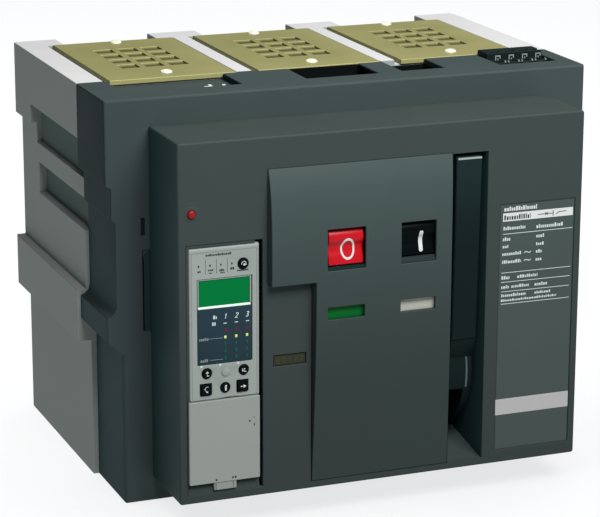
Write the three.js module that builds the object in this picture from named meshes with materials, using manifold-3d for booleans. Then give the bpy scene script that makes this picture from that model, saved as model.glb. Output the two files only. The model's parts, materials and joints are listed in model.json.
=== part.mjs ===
// Three-pole fixed air circuit breaker.
// Millimetres. +X right (seen from the front), +Y towards the rear terminals, +Z up.
// The origin is the centre of the base face that the breaker stands on. The front faces -Y.

import * as THREE from 'three';
import { mergeVertices } from 'three/addons/utils/BufferGeometryUtils.js';
import Module from 'manifold-3d';

const wasm = await Module();
wasm.setup();

// ---------------------------------------------------------------- driving dimensions

const POLE_PITCH = 115;
const POLES = [-POLE_PITCH, 0, POLE_PITCH];
const HALF_WIDTH = 188.5;          // front frame and top of the case
const BODY_TOP = 300.7;            // top face of the case and the front frame
const GAP = 0.3;                   // assembly gap between neighbouring pieces

// front frame (dark housing around the mechanism)
const FRAME_FRONT = -91;
const FRAME_REAR = -24;
const FRAME_INNER_X = 173;
const FRAME_WALL = 4;

// raised front fascia
const FASCIA_X = 156;
const FASCIA_FRONT = -153.9;
const FASCIA_BACK = FRAME_FRONT - GAP;
const FASCIA_Z0 = 18;
const FASCIA_Z1 = 280.7;
const FASCIA_WALL = 3.5;

// rear case
const CASE_FRONT = FRAME_REAR + GAP;       // -23.7
const CASE_REAR = 122.5;                   // back wall between the columns
const COLUMN_REAR = 148;                   // rear face of the four columns
const SIDE_TOP_X = 188.5;                  // side face above SIDE_STEP_Z
const SIDE_MID_X = 183.7;                  // side face between the band and the step
const SIDE_BAND_X = 190.7;                 // proud band round the middle of the side
const SIDE_LOW_X = 181;                    // side face below the band
const SIDE_STEP_Z = 245;
const BAND_Z0 = 105.5;
const BAND_Z1 = 145.5;
const CHAMBER_HALF = 47;
const CHAMBER_Y0 = -8;
const CHAMBER_Y1 = 108;
const CHAMBER_Z0 = 12;

// arc chute covers
const COVER_HALF = 48.7;
const COVER_Y0 = -26;
const COVER_Y1 = 123;
const COVER_T = 3.6;
const COVER_TOP = 301;
const COVER_GROOVE = 4.2;          // open groove along the left edge of each cover
const VENT = 14;
const VENT_X = [-19, 0, 19];
const VENT_Y = [22, 42.6, 63.3, 84];

// poles
const CONTACT_PIVOT = { y: 52, z: 88 };
const CONTACT_OPEN = THREE.MathUtils.degToRad(24);     // lean of the open contact
const CARRIER_PIN = 40;                                // pivot to drive pin
const TERMINAL_HALF = 30;
const LINE_Z = [188, 204];
const LOAD_Z = [60, 76];
const PAD_Y = [123, 154];
const PAD_HOLE_R = 5.5;

// operating mechanism
const SHAFT = { y: -45, z: 120, r: 11, half: 168 };
const CRANK_R = 28;
const CRANK_OPEN = THREE.MathUtils.degToRad(107);
const CRANK_PIN = {
  y: SHAFT.y + CRANK_R * Math.cos(CRANK_OPEN),
  z: SHAFT.z + CRANK_R * Math.sin(CRANK_OPEN),
};
const CARRIER_PIN_AT = {
  y: CONTACT_PIVOT.y - CARRIER_PIN * Math.sin(CONTACT_OPEN),
  z: CONTACT_PIVOT.z + CARRIER_PIN * Math.cos(CONTACT_OPEN),
};
const CAM = { y: -91, z: 88, r: 6 };
const CAM_PIN_R = 15;                                  // crank radius of the charging pin
const SPRING = { x: -66, y: -91, z0: 92.4, z1: 224.6, r: 10.5, wire: 1.8, turns: 9 };
const LATCH = { y: -106, z: 178, r: 5 };
const BUTTON_Z = 197;
const OFF_X = -33;
const ON_X = 22.5;
const FLAG = { y: -145, z: 150.5, r: 12.3 };

// charging handle slot
const SLOT_X = [51.5, 79.5];
const SLOT_Z = [23, 257];
const HANDLE_X = [55.2, 75.6];
const HANDLE_WEB_R = 53;                              // outer radius of the thin web below the lever
const HANDLE_WEB_X = 68.7;                            // its left face

// trip unit
const TRIP_X = [-148.4, -96.3];
const TRIP_Z = [32.7, 206];
const TRIP_SPLIT = 94.8;
const TRIP_FRONT = -154.4;

// ---------------------------------------------------------------- solid helpers

function toSolid(geometry) {
  const g = geometry.index ? geometry.toNonIndexed() : geometry.clone();
  g.deleteAttribute('normal');
  g.deleteAttribute('uv');
  const m = mergeVertices(g, 1e-4);
  return new wasm.Manifold(new wasm.Mesh({
    numProp: 3,
    vertProperties: new Float32Array(m.attributes.position.array),
    triVerts: new Uint32Array(m.index.array),
  }));
}

function toGeometry(solid) {
  const m = solid.getMesh();
  const n = m.vertProperties.length / m.numProp;
  const position = new Float32Array(n * 3);
  for (let i = 0; i < n; i++) {
    for (let k = 0; k < 3; k++) position[i * 3 + k] = m.vertProperties[i * m.numProp + k];
  }
  const g = new THREE.BufferGeometry();
  g.setAttribute('position', new THREE.BufferAttribute(position, 3));
  g.setIndex(new THREE.BufferAttribute(new Uint32Array(m.triVerts), 1));
  g.computeVertexNormals();
  return g;
}

function box(x0, x1, y0, y1, z0, z1) {
  const g = new THREE.BoxGeometry(x1 - x0, y1 - y0, z1 - z0);
  g.translate((x0 + x1) / 2, (y0 + y1) / 2, (z0 + z1) / 2);
  return toSolid(g);
}

// cylinder along an axis from a to b; (u, v) are the other two coordinates in x, y, z order
function cyl(axis, r, a, b, u, v, n = 16, r2 = r) {
  const g = new THREE.CylinderGeometry(r2, r, b - a, n);
  g.translate(0, (a + b) / 2, 0);
  if (axis === 'y') g.rotateY(Math.PI / n);
  if (axis === 'x') { g.rotateZ(-Math.PI / 2); g.translate(0, u, v); }
  if (axis === 'y') g.translate(u, 0, v);
  if (axis === 'z') { g.rotateX(Math.PI / 2); g.translate(u, v, 0); }
  return toSolid(g);
}

// closed outline swept from a to b: points are (y, z) for x, (x, z) for y and (x, y) for z
function prism(axis, points, a, b) {
  const pts = axis === 'y' ? points.map(([x, z]) => [z, x]) : points;
  const shape = new THREE.Shape(pts.map(([u, v]) => new THREE.Vector2(u, v)));
  const g = new THREE.ExtrudeGeometry(shape, { depth: b - a, bevelEnabled: false });
  const m = new THREE.Matrix4();
  if (axis === 'x') m.set(0, 0, 1, a, 1, 0, 0, 0, 0, 1, 0, 0, 0, 0, 0, 1);
  if (axis === 'y') m.set(0, 1, 0, 0, 0, 0, 1, a, 1, 0, 0, 0, 0, 0, 0, 1);
  if (axis === 'z') m.set(1, 0, 0, 0, 0, 1, 0, 0, 0, 0, 1, a, 0, 0, 0, 1);
  g.applyMatrix4(m);
  return toSolid(g);
}

// straight bar of half height h between two points of a plane across x
function bar(p, q, h, x0, x1) {
  const dy = q.y - p.y;
  const dz = q.z - p.z;
  const l = Math.hypot(dy, dz);
  const ny = (-dz / l) * h;
  const nz = (dy / l) * h;
  return prism('x', [
    [p.y + ny, p.z + nz], [q.y + ny, q.z + nz], [q.y - ny, q.z - nz], [p.y - ny, p.z - nz],
  ], x0, x1);
}

const join = (...s) => s.reduce((a, b) => a.add(b));
const cut = (a, ...s) => s.reduce((p, q) => p.subtract(q), a);

// ---------------------------------------------------------------- materials

const FINISH = {
  case_grey: [0x9da3a0, 0.62, 0],
  frame_black: [0x38494a, 0.5, 0],
  fascia: [0x414d4b, 0.5, 0],
  panel: [0x4e5857, 0.45, 0],
  plate: [0x48524f, 0.5, 0],
  olive: [0x9f9a68, 0.45, 0.25],
  steel: [0xb9bcbd, 0.35, 0.9],
  dark_steel: [0x6d7275, 0.45, 0.85],
  copper: [0xc27a4d, 0.35, 0.9],
  chute: [0xd8d0b8, 0.7, 0],
  coil: [0x2b2e30, 0.6, 0],
  handle: [0x1e2a2a, 0.45, 0],
  red: [0xdc1428, 0.4, 0],
  black: [0x1a1f20, 0.4, 0],
  green: [0x016125, 0.45, 0],
  white: [0xb4b4ac, 0.5, 0],
  trip: [0x858d8c, 0.5, 0],
  trip_cover: [0x919694, 0.45, 0],
  screen: [0x037841, 0.3, 0],
  counter: [0x34382a, 0.4, 0],
};

const breaker = new THREE.Group();
breaker.name = 'air_circuit_breaker';

function add(name, solid, finish, parent = breaker) {
  const [color, roughness, metalness] = FINISH[finish];
  const mesh = new THREE.Mesh(
    toGeometry(solid),
    new THREE.MeshStandardMaterial({ color, roughness, metalness }),
  );
  mesh.name = name;
  parent.add(mesh);
  return mesh;
}

const poleGroup = POLES.map((x) => {
  const g = new THREE.Group();
  g.position.x = x;
  breaker.add(g);
  return g;
});

// ---------------------------------------------------------------- rear case

{
  // side columns carry the stepped side, the inner columns stand between the terminal bays
  const side = (s) => {
    const wall = (xo, z0, z1) => (s < 0
      ? box(-xo, -150, CASE_FRONT, COLUMN_REAR, z0, z1)
      : box(150, xo, CASE_FRONT, COLUMN_REAR, z0, z1));
    return join(
      wall(SIDE_LOW_X, 0, BAND_Z0 + 1),
      wall(SIDE_BAND_X, BAND_Z0, BAND_Z1),
      wall(SIDE_MID_X, BAND_Z1 - 1, SIDE_STEP_Z + 1),
      wall(SIDE_TOP_X, SIDE_STEP_Z, BODY_TOP),
    );
  };
  let s = join(
    box(-155, 155, CASE_FRONT, CASE_REAR, 0, BODY_TOP),
    side(-1), side(1),
    box(-79, -39.3, 100, COLUMN_REAR, 0, BODY_TOP),
    box(39.3, 79, 100, COLUMN_REAR, 0, BODY_TOP),
  );
  // rear corners inside the outer columns start at the bays
  s = cut(s,
    box(-154.3, -149, CASE_REAR, 160, -1, 310),
    box(149, 154.3, CASE_REAR, 160, -1, 310));
  for (const k of [-1, 1]) {
    const x = (a, b) => (k < 0 ? [-b, -a] : [a, b]);
    // hand and lifting pockets in the side
    s = cut(s,
      box(...x(179.5, 195), -30, 104, 230, 260),
      box(...x(177.5, 195), -30, 100, 190.5, 214.5));
    // small bevel at the top rear corner
    s = cut(s, prism('z', k < 0
      ? [[-192, 143], [-184, 152], [-192, 152]]
      : [[192, 143], [192, 152], [184, 152]], SIDE_STEP_Z, 310));
  }
  for (const c of POLES) {
    s = cut(s,
      box(c - CHAMBER_HALF, c + CHAMBER_HALF, CHAMBER_Y0, CHAMBER_Y1, CHAMBER_Z0, 310),
      box(c - COVER_HALF - COVER_GROOVE, c + COVER_HALF + 0.9, -30, COVER_Y1 + 0.4, COVER_TOP - COVER_T - 0.2, 310),
      box(c - 10, c + 10, -30, 0, 112, 162),
      box(c - TERMINAL_HALF - 0.4, c + TERMINAL_HALF + 0.4, 100, 130, LINE_Z[0] - 0.4, LINE_Z[1] + 0.4),
      box(c - TERMINAL_HALF - 0.4, c + TERMINAL_HALF + 0.4, 100, 130, LOAD_Z[0] - 0.4, LOAD_Z[1] + 0.4));
    // screw boss at the front of each chamber mouth
    s = join(s, box(c - 6, c + 6, -16, -2, 262, COVER_TOP - COVER_T - 0.2));
    s = cut(s,
      cyl('z', 2.4, 284, 305, c, -9, 16),
      cyl('z', 2.4, 284, 305, c, 116, 16));
  }
  // bearing lugs for the ends of the pole shaft
  for (const k of [-1, 1]) {
    const [x0, x1] = k < 0 ? [-170, -160] : [160, 170];
    s = join(s, box(x0, x1, -62, CASE_FRONT + 2, 102, 138));
  }
  s = cut(s, cyl('x', SHAFT.r + 0.4, -175, 175, SHAFT.y, SHAFT.z, 32));
  add('rear_case', s, 'case_grey');
}

// ---------------------------------------------------------------- front frame

{
  const right = [
    [188.5, 300.7], [188.5, 239], [184.3, 237], [184.3, 214], [181.3, 212], [181.3, 150],
    [182.4, 146], [185.2, 143], [188.5, 142], [188.5, 124], [177, 113.5], [177, 0],
  ];
  const outline = [...right, ...right.map(([x, z]) => [-x, z]).reverse()];
  let s = prism('y', outline, FRAME_FRONT, FRAME_REAR);
  s = cut(s,
    box(-FRAME_INNER_X, FRAME_INNER_X, FRAME_FRONT + FRAME_WALL, 0, FRAME_WALL, BODY_TOP - FRAME_WALL),
    box(-150, 150, -100, -80, 24, 275));
  // shallow tray and its floor at the top left, then the open cut-outs of the top wall
  s = join(s, box(-170, -73, -71, FRAME_REAR, 289, BODY_TOP - 1));
  s = cut(s,
    box(-166, -77, -67.7, -20, 296, 310),
    box(-26, 31, -66, -20, 280, 310),
    box(50, 85, -64, -20, 280, 310),
    box(129, 176, -68, -20, 285, 310));
  for (const c of POLES) {
    s = cut(s, box(c - COVER_HALF - COVER_GROOVE, c + COVER_HALF + 0.9, COVER_Y0 - 0.4, -20, COVER_TOP - COVER_T - 0.2, 310));
  }
  // two latching slots beside the fascia
  s = cut(s,
    box(-162, -159.4, -95, -85, 201, 214),
    box(-161.2, -154, -95, -85, 130, 190));
  add('front_frame', s, 'frame_black');
}

// ---------------------------------------------------------------- front fascia

{
  let s = cut(
    box(-FASCIA_X, FASCIA_X, FASCIA_FRONT, FASCIA_BACK, FASCIA_Z0, FASCIA_Z1),
    box(-FASCIA_X + FASCIA_WALL, FASCIA_X - FASCIA_WALL, FASCIA_FRONT + FASCIA_WALL, -80,
      FASCIA_Z0 + FASCIA_WALL, FASCIA_Z1 - FASCIA_WALL));
  // corner relief at the right end of the top face
  s = cut(s, box(150, 160, -106, -80, 270, 290));
  s = join(s, box(146.5, 150, -107, FASCIA_BACK, 270, FASCIA_Z1 - 1), box(146.5, 153, -109.5, -106, 270, FASCIA_Z1 - 1));
  // well behind the charging handle slot: two cheeks, a lintel and a sloping sill
  const well = join(
    box(SLOT_X[0] - 2, SLOT_X[0], FASCIA_FRONT + FASCIA_WALL - 0.5, -100, 21, 259.5),
    box(SLOT_X[1], SLOT_X[1] + 2, FASCIA_FRONT + FASCIA_WALL - 0.5, -100, 21, 259.5),
    box(SLOT_X[0] - 2, SLOT_X[1] + 2, FASCIA_FRONT + 1, -100, SLOT_Z[1], SLOT_Z[1] + 2.5),
    prism('x', [[FASCIA_FRONT + 1, 19], [FASCIA_FRONT + 1, 23], [-100, 32.4], [-100, 29.4], [-140, 19]],
      SLOT_X[0] - 2, SLOT_X[1] + 2));
  s = join(s, well);
  s = cut(s,
    // opening for the handle
    box(...SLOT_X, -160, -150, SLOT_Z[0] + 0.6, SLOT_Z[1]),
    // stepped opening behind the central panel
    box(-89.9, SLOT_X[0] - 0.1, -160, -150, 174.1, 257.9),
    box(-56.4, SLOT_X[0] - 0.1, -160, -150, 23.1, 175),
    // trip unit opening
    box(-150.2, -93.5, -160, -140, 24.5, 208),
    // counter window and reset button hole
    box(-85.5, -60.5, -160, -140, 113.3, 121.6),
    cyl('y', 4.4, -160, -140, -145.9, 230.5, 12),
    // shallow rating plate recess
    box(90, 150.5, -160, FASCIA_FRONT + 1.8, 28, 216));
  add('front_fascia', s, 'fascia');
}

// ---------------------------------------------------------------- central panel

{
  // gently crowned outer face: flush with the fascia at both ends
  const face = [
    [-154.1, 23.5], [-155.6, 40], [-157.4, 62], [-159.2, 88], [-160.7, 115], [-161.6, 140],
    [-162, 165], [-162, 200], [-161.4, 220], [-159.6, 238], [-157.2, 249], [-154.3, 257.5],
  ];
  const outer = prism('x', [...face, [-150.6, 257.5], [-150.6, 23.5]], -89.5, 51.1);
  const inner = prism('x', [...face.map(([y, z]) => [y + 2.8, Math.min(254.5, Math.max(26.5, z))]), [-149, 254.5], [-149, 26.5]], -86.5, 48.1);
  let s = cut(outer, box(-95, -56, -170, -140, 0, 174.5));
  s = cut(s, cut(inner, box(-95, -53, -170, -140, 0, 177.5)));
  // flag lugs and retaining tabs
  for (const [x0, x1] of [[-53.2, -50.2], [-15.8, -12.8], [2.6, 5.6], [38.8, 41.8]]) {
    s = join(s, cut(box(x0, x1, -159.6, -141, 146.5, 154.5), cyl('x', 2.4, x0 - 1, x1 + 1, FLAG.y, FLAG.z, 16)));
  }
  s = join(s,
    box(-88, -84, -152.6, -147.6, 205, 225), box(-93, -84, -150.1, -147.6, 205, 225),
    box(-40, 10, -152.6, -147.6, 252.5, 256), box(-40, 10, -150.1, -147.6, 252.5, 261.5),
    box(-30, 10, -152.6, -149.4, 24.5, 28), box(-30, 10, -150.1, -147.8, 22, 28));
  s = cut(s,
    box(-47.5, -18.5, -170, -156, 182, 212),
    box(9, 36, -170, -156, 182, 212),
    box(-47, -19, -170, -156, 146, 155),
    box(9, 36, -170, -156, 146, 155));
  add('center_panel', s, 'panel');
}

add('rating_plate', box(90.4, 150.1, FASCIA_FRONT + 0.5, FASCIA_FRONT + 1.5, 28.4, 215.6), 'plate');

// ---------------------------------------------------------------- arc chutes and covers

const POLE_NAMES = ['left', 'centre', 'right'];

{
  let cover = box(-COVER_HALF, COVER_HALF, COVER_Y0, COVER_Y1, COVER_TOP - COVER_T, COVER_TOP);
  for (const x of VENT_X) {
    for (const y of VENT_Y) {
      cover = cut(cover, box(x - VENT / 2, x + VENT / 2, y - VENT / 2, y + VENT / 2, COVER_TOP - 1.9, 310));
    }
  }
  cover = cut(cover, cyl('z', 2.4, 290, 310, 0, -9, 16), cyl('z', 2.4, 290, 310, 0, 116, 16));

  const screw = (y) => cut(
    join(cyl('z', 4.6, COVER_TOP + 0.3, COVER_TOP + 2, 0, y, 12), cyl('z', 2, 286, COVER_TOP + 1, 0, y, 12)),
    box(-0.6, 0.6, y - 6, y + 6, COVER_TOP + 1.4, 320));

  let chute = join(box(-44, -42, 10, 105, 216, 296.6), box(42, 44, 10, 105, 216, 296.6));
  for (let i = 0; i < 7; i++) {
    const y = 14 + i * 14;
    const plate = cut(box(-42.5, 42.5, y, y + 2, 220, 295),
      prism('y', [[-9, 210], [9, 210], [2, 244], [-2, 244]], y - 1, y + 3));
    chute = join(chute, plate);
  }
  poleGroup.forEach((g, i) => {
    add(`arc_chute_cover_${POLE_NAMES[i]}`, cover, 'olive', g);
    add(`cover_screw_front_${POLE_NAMES[i]}`, screw(-9), 'steel', g);
    add(`cover_screw_rear_${POLE_NAMES[i]}`, screw(116), 'steel', g);
    add(`arc_chute_${POLE_NAMES[i]}`, chute, 'chute', g);
  });
}

// ---------------------------------------------------------------- poles

{
  const padHoles = (z0, z1) => [
    cyl('z', PAD_HOLE_R, z0 - 1, z1 + 1, -14, 139, 12),
    cyl('z', PAD_HOLE_R, z0 - 1, z1 + 1, 14, 139, 12)];
  const line = cut(join(
    box(-TERMINAL_HALF, TERMINAL_HALF, 62.3, PAD_Y[0] + 0.5, ...LINE_Z),
    box(-TERMINAL_HALF - 1, TERMINAL_HALF + 1, ...PAD_Y, LINE_Z[0] - 2, LINE_Z[1] + 2),
  ), ...padHoles(LINE_Z[0] - 2, LINE_Z[1] + 2));
  const ear = (x0, x1) => box(x0, x1, 40, 80, LOAD_Z[0], 100);
  const load = cut(join(
    box(-TERMINAL_HALF, TERMINAL_HALF, 70, PAD_Y[0] + 0.5, ...LOAD_Z),
    box(-TERMINAL_HALF - 1, TERMINAL_HALF + 1, ...PAD_Y, LOAD_Z[0] - 2, LOAD_Z[1] + 2),
    ear(-26, -22), ear(22, 26),
  ), cyl('x', 5.5, -30, 30, CONTACT_PIVOT.y, CONTACT_PIVOT.z, 14), ...padHoles(LOAD_Z[0] - 2, LOAD_Z[1] + 2));
  const ct = cut(box(-38, 38, 84, 106, 36, 100), box(-31.5, 31.5, 80, 110, LOAD_Z[0] - 2, LOAD_Z[1] + 2));

  // moving contact in its own upright frame: pivot at the origin, fingers upwards
  let contact = join(
    cyl('x', 12, -20, 20, 0, 0, 16),
    cyl('x', 5, -27, 27, 0, 0, 14),
    box(-20, -8, -9, 9, 0, 62),
    box(8, 20, -9, 9, 0, 62),
    cyl('x', 4, -14, 14, 0, CARRIER_PIN, 12),
    box(-20, 20, -8, 9, 58, 105),
    box(-20, 20, 8, 10, 98, 105));
  for (const x of [-12, -4, 4, 12]) contact = cut(contact, box(x - 0.7, x + 0.7, -20, 20, 68, 110));

  poleGroup.forEach((g, i) => {
    add(`line_terminal_${POLE_NAMES[i]}`, line, 'copper', g);
    add(`load_terminal_${POLE_NAMES[i]}`, load, 'copper', g);
    add(`current_transformer_${POLE_NAMES[i]}`, ct, 'coil', g);
    const m = add(`moving_contact_${POLE_NAMES[i]}`, contact, 'copper', g);
    m.position.set(0, CONTACT_PIVOT.y, CONTACT_PIVOT.z);
    m.rotation.x = CONTACT_OPEN;
  });
}

// ---------------------------------------------------------------- pole shaft and drive links

{
  let s = cyl('x', SHAFT.r, -SHAFT.half, SHAFT.half, SHAFT.y, SHAFT.z, 16);
  for (const c of POLES) {
    s = join(s,
      cyl('x', 16, c - 13, c - 6.8, SHAFT.y, SHAFT.z, 16),
      bar(SHAFT, CRANK_PIN, 9, c - 13, c - 6.8),
      cyl('x', 9, c - 13, c - 6.8, CRANK_PIN.y, CRANK_PIN.z, 14),
      cyl('x', 4.5, c - 7, c + 7, CRANK_PIN.y, CRANK_PIN.z, 12));
  }
  add('pole_shaft', s, 'steel');

  const link = cut(join(
    bar(CRANK_PIN, CARRIER_PIN_AT, 6, -5.5, 5.5),
    cyl('x', 9, -5.5, 5.5, CRANK_PIN.y, CRANK_PIN.z, 14),
    cyl('x', 10, -5.5, 5.5, CARRIER_PIN_AT.y, CARRIER_PIN_AT.z, 14)),
  cyl('x', 5, -10, 10, CRANK_PIN.y, CRANK_PIN.z, 14),
  cyl('x', 6, -10, 10, CARRIER_PIN_AT.y, CARRIER_PIN_AT.z, 14));
  poleGroup.forEach((g, i) => add(`drive_link_${POLE_NAMES[i]}`, link, 'steel', g));
}

// ---------------------------------------------------------------- mechanism frame

{
  let s = join(
    box(-44, -41, -130, -28, 35, 235),
    box(38, 41, -130, -28, 35, 235),
    box(-44, 41, -31, -28, 35, 235),
    // feet against the case
    box(-43, -25, -29, -24, 40, 60), box(22, 40, -29, -24, 40, 60),
    box(-43, -25, -29, -24, 210, 230), box(22, 40, -29, -24, 210, 230),
    // anchor for the closing spring and the centre bearing of the latch shafts
    box(-80, -42, -106, -76, 225, 229),
    box(-3, 3, -112, -29, 165, 190));
  s = cut(s,
    box(-15, 9, -40, -20, 104, 162),
    cyl('x', SHAFT.r + 0.5, -50, 50, SHAFT.y, SHAFT.z, 16),
    cyl('x', CAM.r + 0.5, -50, 50, CAM.y, CAM.z, 14),
    cyl('x', LATCH.r + 0.4, -50, 50, LATCH.y, LATCH.z, 12),
    cyl('z', 5.5, 220, 235, SPRING.x, SPRING.y, 14),
    box(-60, 60, -135, -100, 30, 62));
  add('mechanism_frame', s, 'dark_steel');
}

// ---------------------------------------------------------------- charging system

{
  // cam, ratchet wheel and spring crank on one shaft
  const lobe = [];
  for (let i = 0; i < 20; i++) {
    const a = (i / 20) * Math.PI * 2;
    const r = 18 + 12 * Math.pow(0.5 + 0.5 * Math.cos(a - 1.2), 1.5);
    lobe.push([CAM.y + r * Math.cos(a), CAM.z + r * Math.sin(a)]);
  }
  const teeth = [];
  const N = 14;
  for (let i = 0; i < N; i++) {
    const a = (i / N) * Math.PI * 2;
    const b = ((i + 0.85) / N) * Math.PI * 2;
    teeth.push([CAM.y + 26 * Math.cos(a), CAM.z + 26 * Math.sin(a)]);
    teeth.push([CAM.y + 29.8 * Math.cos(b), CAM.z + 29.8 * Math.sin(b)]);
  }
  const s = join(
    cyl('x', CAM.r, -52, 78, CAM.y, CAM.z, 14),
    prism('x', lobe, -30, -20),
    prism('x', teeth, 43, 48.5),
    cyl('x', 22, -51, -47, CAM.y, CAM.z, 16),
    cyl('x', 4, -58, -50, CAM.y, CAM.z - CAM_PIN_R, 12));
  add('cam_shaft', s, 'steel');
}

{
  // yoke that the spring crank lifts, with the rod that runs up through the spring
  const s = cut(join(
    box(-73, -53, -117, -65, 58, 88),
    cyl('z', 12.6, 87.5, 92, SPRING.x, SPRING.y, 16),
    cyl('z', 4.5, 90, 236, SPRING.x, SPRING.y, 12)),
  box(-61, -50, -111, -71, 65.4, 80.6));
  add('spring_crosshead', s, 'dark_steel');
}

{
  class Coil extends THREE.Curve {
    getPoint(t, target = new THREE.Vector3()) {
      const a = t * SPRING.turns * Math.PI * 2;
      return target.set(
        SPRING.x + SPRING.r * Math.cos(a),
        SPRING.y + SPRING.r * Math.sin(a),
        SPRING.z0 + SPRING.wire + t * (SPRING.z1 - SPRING.z0 - 2 * SPRING.wire));
    }
  }
  const section = new THREE.Shape();
  for (let i = 0; i < 5; i++) {
    const a = (i / 5) * Math.PI * 2;
    const p = [SPRING.wire * Math.cos(a), SPRING.wire * Math.sin(a)];
    if (i) section.lineTo(...p); else section.moveTo(...p);
  }
  section.closePath();
  const g = new THREE.ExtrudeGeometry(section, { steps: SPRING.turns * 8, extrudePath: new Coil(), bevelEnabled: false });
  add('closing_spring', toSolid(g), 'steel');
}

{
  // flush lever with a round hub on the cam shaft and a thin guard web that follows the hub round below the lever
  const web = [];
  for (let i = 0; i <= 12; i++) {
    const a = THREE.MathUtils.degToRad(32 - i * 7.75);
    web.push([CAM.y - HANDLE_WEB_R * Math.cos(a), CAM.z + HANDLE_WEB_R * Math.sin(a)]);
  }
  // the lever keeps its full width down to the height of the shaft
  const heel = web.slice(0, 7);
  const s = cut(join(
    cyl('x', 37, ...HANDLE_X, CAM.y, CAM.z, 32),
    prism('x', [[CAM.y, CAM.z], ...web.reverse()], HANDLE_WEB_X, HANDLE_X[1]),
    prism('x', [[CAM.y, CAM.z], ...heel.reverse()], ...HANDLE_X),
    prism('x', [
      [-127, 96], [-149, 116], [-150.4, 160], [-151.6, 202], [-152.4, 246], [-152.4, 252], [-151, 254],
      [-142, 254], [-138, 249], [-131, 210], [-122, 165], [-108, 122], [-100, 110],
    ], ...HANDLE_X)),
  cyl('x', CAM.r + 0.5, 50, 80, CAM.y, CAM.z, 16));
  add('charging_handle', s, 'handle');
}

// ---------------------------------------------------------------- buttons, latches and flags

{
  const button = (x0, x1, xs) => join(
    box(x0, x1, -159.4, -150, 182.4, 211.6),
    box(xs - 6, xs + 6, -151, -140, BUTTON_Z - 6, BUTTON_Z + 6),
    cyl('y', 2.5, -141, -108.7, xs, BUTTON_Z, 16));
  add('off_button', button(-47.1, -18.9, OFF_X), 'red');
  add('on_button', button(9.4, 35.6, ON_X), 'black');

  const latch = (x0, x1, xl) => join(
    cyl('x', LATCH.r, x0, x1, LATCH.y, LATCH.z, 12),
    box(xl - 4, xl + 4, LATCH.y - 2, LATCH.y + 2, 152, 204));
  add('opening_latch_shaft', latch(-44.5, -0.5, OFF_X), 'dark_steel');
  add('closing_latch_shaft', latch(0.5, 41.5, ON_X), 'dark_steel');

  const flag = (x0, x1) => join(
    cyl('x', FLAG.r, x0, x1, FLAG.y, FLAG.z, 24),
    cyl('x', 2, x0 - 3.4, x1 + 3.4, FLAG.y, FLAG.z, 12));
  add('contact_flag', flag(-49.2, -16.8), 'green');
  add('spring_flag', flag(6.6, 37.8), 'white');
}

{
  add('trip_reset_button', join(
    cyl('y', 4, -156.2, -149, -145.9, 230.5, 14),
    cyl('y', 6, -150.1, -148, -145.9, 230.5, 14)), 'red');

  add('operation_counter', join(
    box(-87.5, -58.5, -150.1, -130, 108, 127),
    box(-85.1, -60.9, -152.8, -149, 113.7, 121.2)), 'counter');
}

// ---------------------------------------------------------------- release coils

{
  const coil = (x0, x1) => {
    const xm = (x0 + x1) / 2;
    return cut(box(x0, x1, -98, -36, 145, 174), cyl('y', 4.4, -110, -30, xm, 159, 14));
  };
  const plunger = (x0, x1) => {
    const xm = (x0 + x1) / 2;
    return join(cyl('y', 4, -98.6, -50, xm, 159, 12));
  };
  add('shunt_trip_coil', coil(-40.6, -16.5), 'coil');
  add('shunt_trip_plunger', plunger(-40.6, -16.5), 'steel');
  add('closing_coil', coil(12.5, 37.6), 'coil');
  add('closing_coil_plunger', plunger(12.5, 37.6), 'steel');
}

// ---------------------------------------------------------------- trip unit

{
  const keys = [
    ['trip_test_key', 'round', -108.3, 192.1, 3.8],
    ['trip_up_key', 'round', -135.6, 114.5, 3.6],
    ['trip_down_key', 'round', -108.1, 114.4, 3.6],
    ['trip_menu_key', 'square', -136.4, 102.6, 4.1],
    ['trip_info_key', 'round', -122, 102.8, 3.5],
    ['trip_enter_key', 'square', -109.1, 102.6, 4.1],
  ];
  let s = join(
    box(...TRIP_X, TRIP_FRONT, -104, TRIP_SPLIT + 0.3, TRIP_Z[1]),
    box(TRIP_X[0], TRIP_X[1], -150.4, -104, TRIP_Z[0], TRIP_SPLIT + 1));
  s = cut(s,
    box(-142.4, -101.6, -160, TRIP_FRONT + 2.6, 120.9, 183.2),
    box(-144, -100.5, -160, -140, 40, 88));
  // rating dials in the pocket behind the lower cover
  s = join(s,
    cyl('y', 7, -146, -139, -133, 64, 12),
    cyl('y', 7, -146, -139, -112, 64, 12));
  for (const [, kind, x, z, r] of keys) {
    s = cut(s, kind === 'round'
      ? cyl('y', r + 0.35, -160, -146, x, z, 12)
      : box(x - r - 0.35, x + r + 0.35, -160, -146, z - r - 0.35, z + r + 0.35));
  }
  add('trip_unit_body', s, 'trip');

  add('trip_unit_display', box(-142, -102, TRIP_FRONT - 0.2, TRIP_FRONT + 2.3, 121.3, 182.8), 'screen');

  for (const [name, kind, x, z, r] of keys) {
    add(name, kind === 'round'
      ? cyl('y', r, TRIP_FRONT - 1.3, -148, x, z, 12)
      : box(x - r, x + r, TRIP_FRONT - 1.3, -148, z - r, z + r), 'black');
  }

  // hinged lower cover with its finger tab
  add('trip_unit_cover', join(
    box(-149.6, -96.4, -156, -150.7, 33, TRIP_SPLIT - 0.3),
    box(-131, -114, -155.4, -152.2, 26.8, 34)), 'trip_cover');
}

// ---------------------------------------------------------------- auxiliary terminals

{
  let s = join(
    box(129.4, 175.6, -67.6, -27, 285.4, 298.6),
    box(129.4, 175.6, -44, -27, 290, 304.5),
    box(132, 170, -64, -30, 262, 287));
  for (let i = 0; i < 4; i++) {
    const x = 134.5 + i * 11.8;
    s = cut(s, box(x, x + 7, -42, -37, 300, 310), box(x, x + 7, -60, -54, 294, 310));
  }
  add('aux_terminal_block', s, 'black');
}

export default breaker;
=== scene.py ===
import bpy, bmesh, json, math
import mathutils
from mathutils import Vector, Matrix

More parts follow.
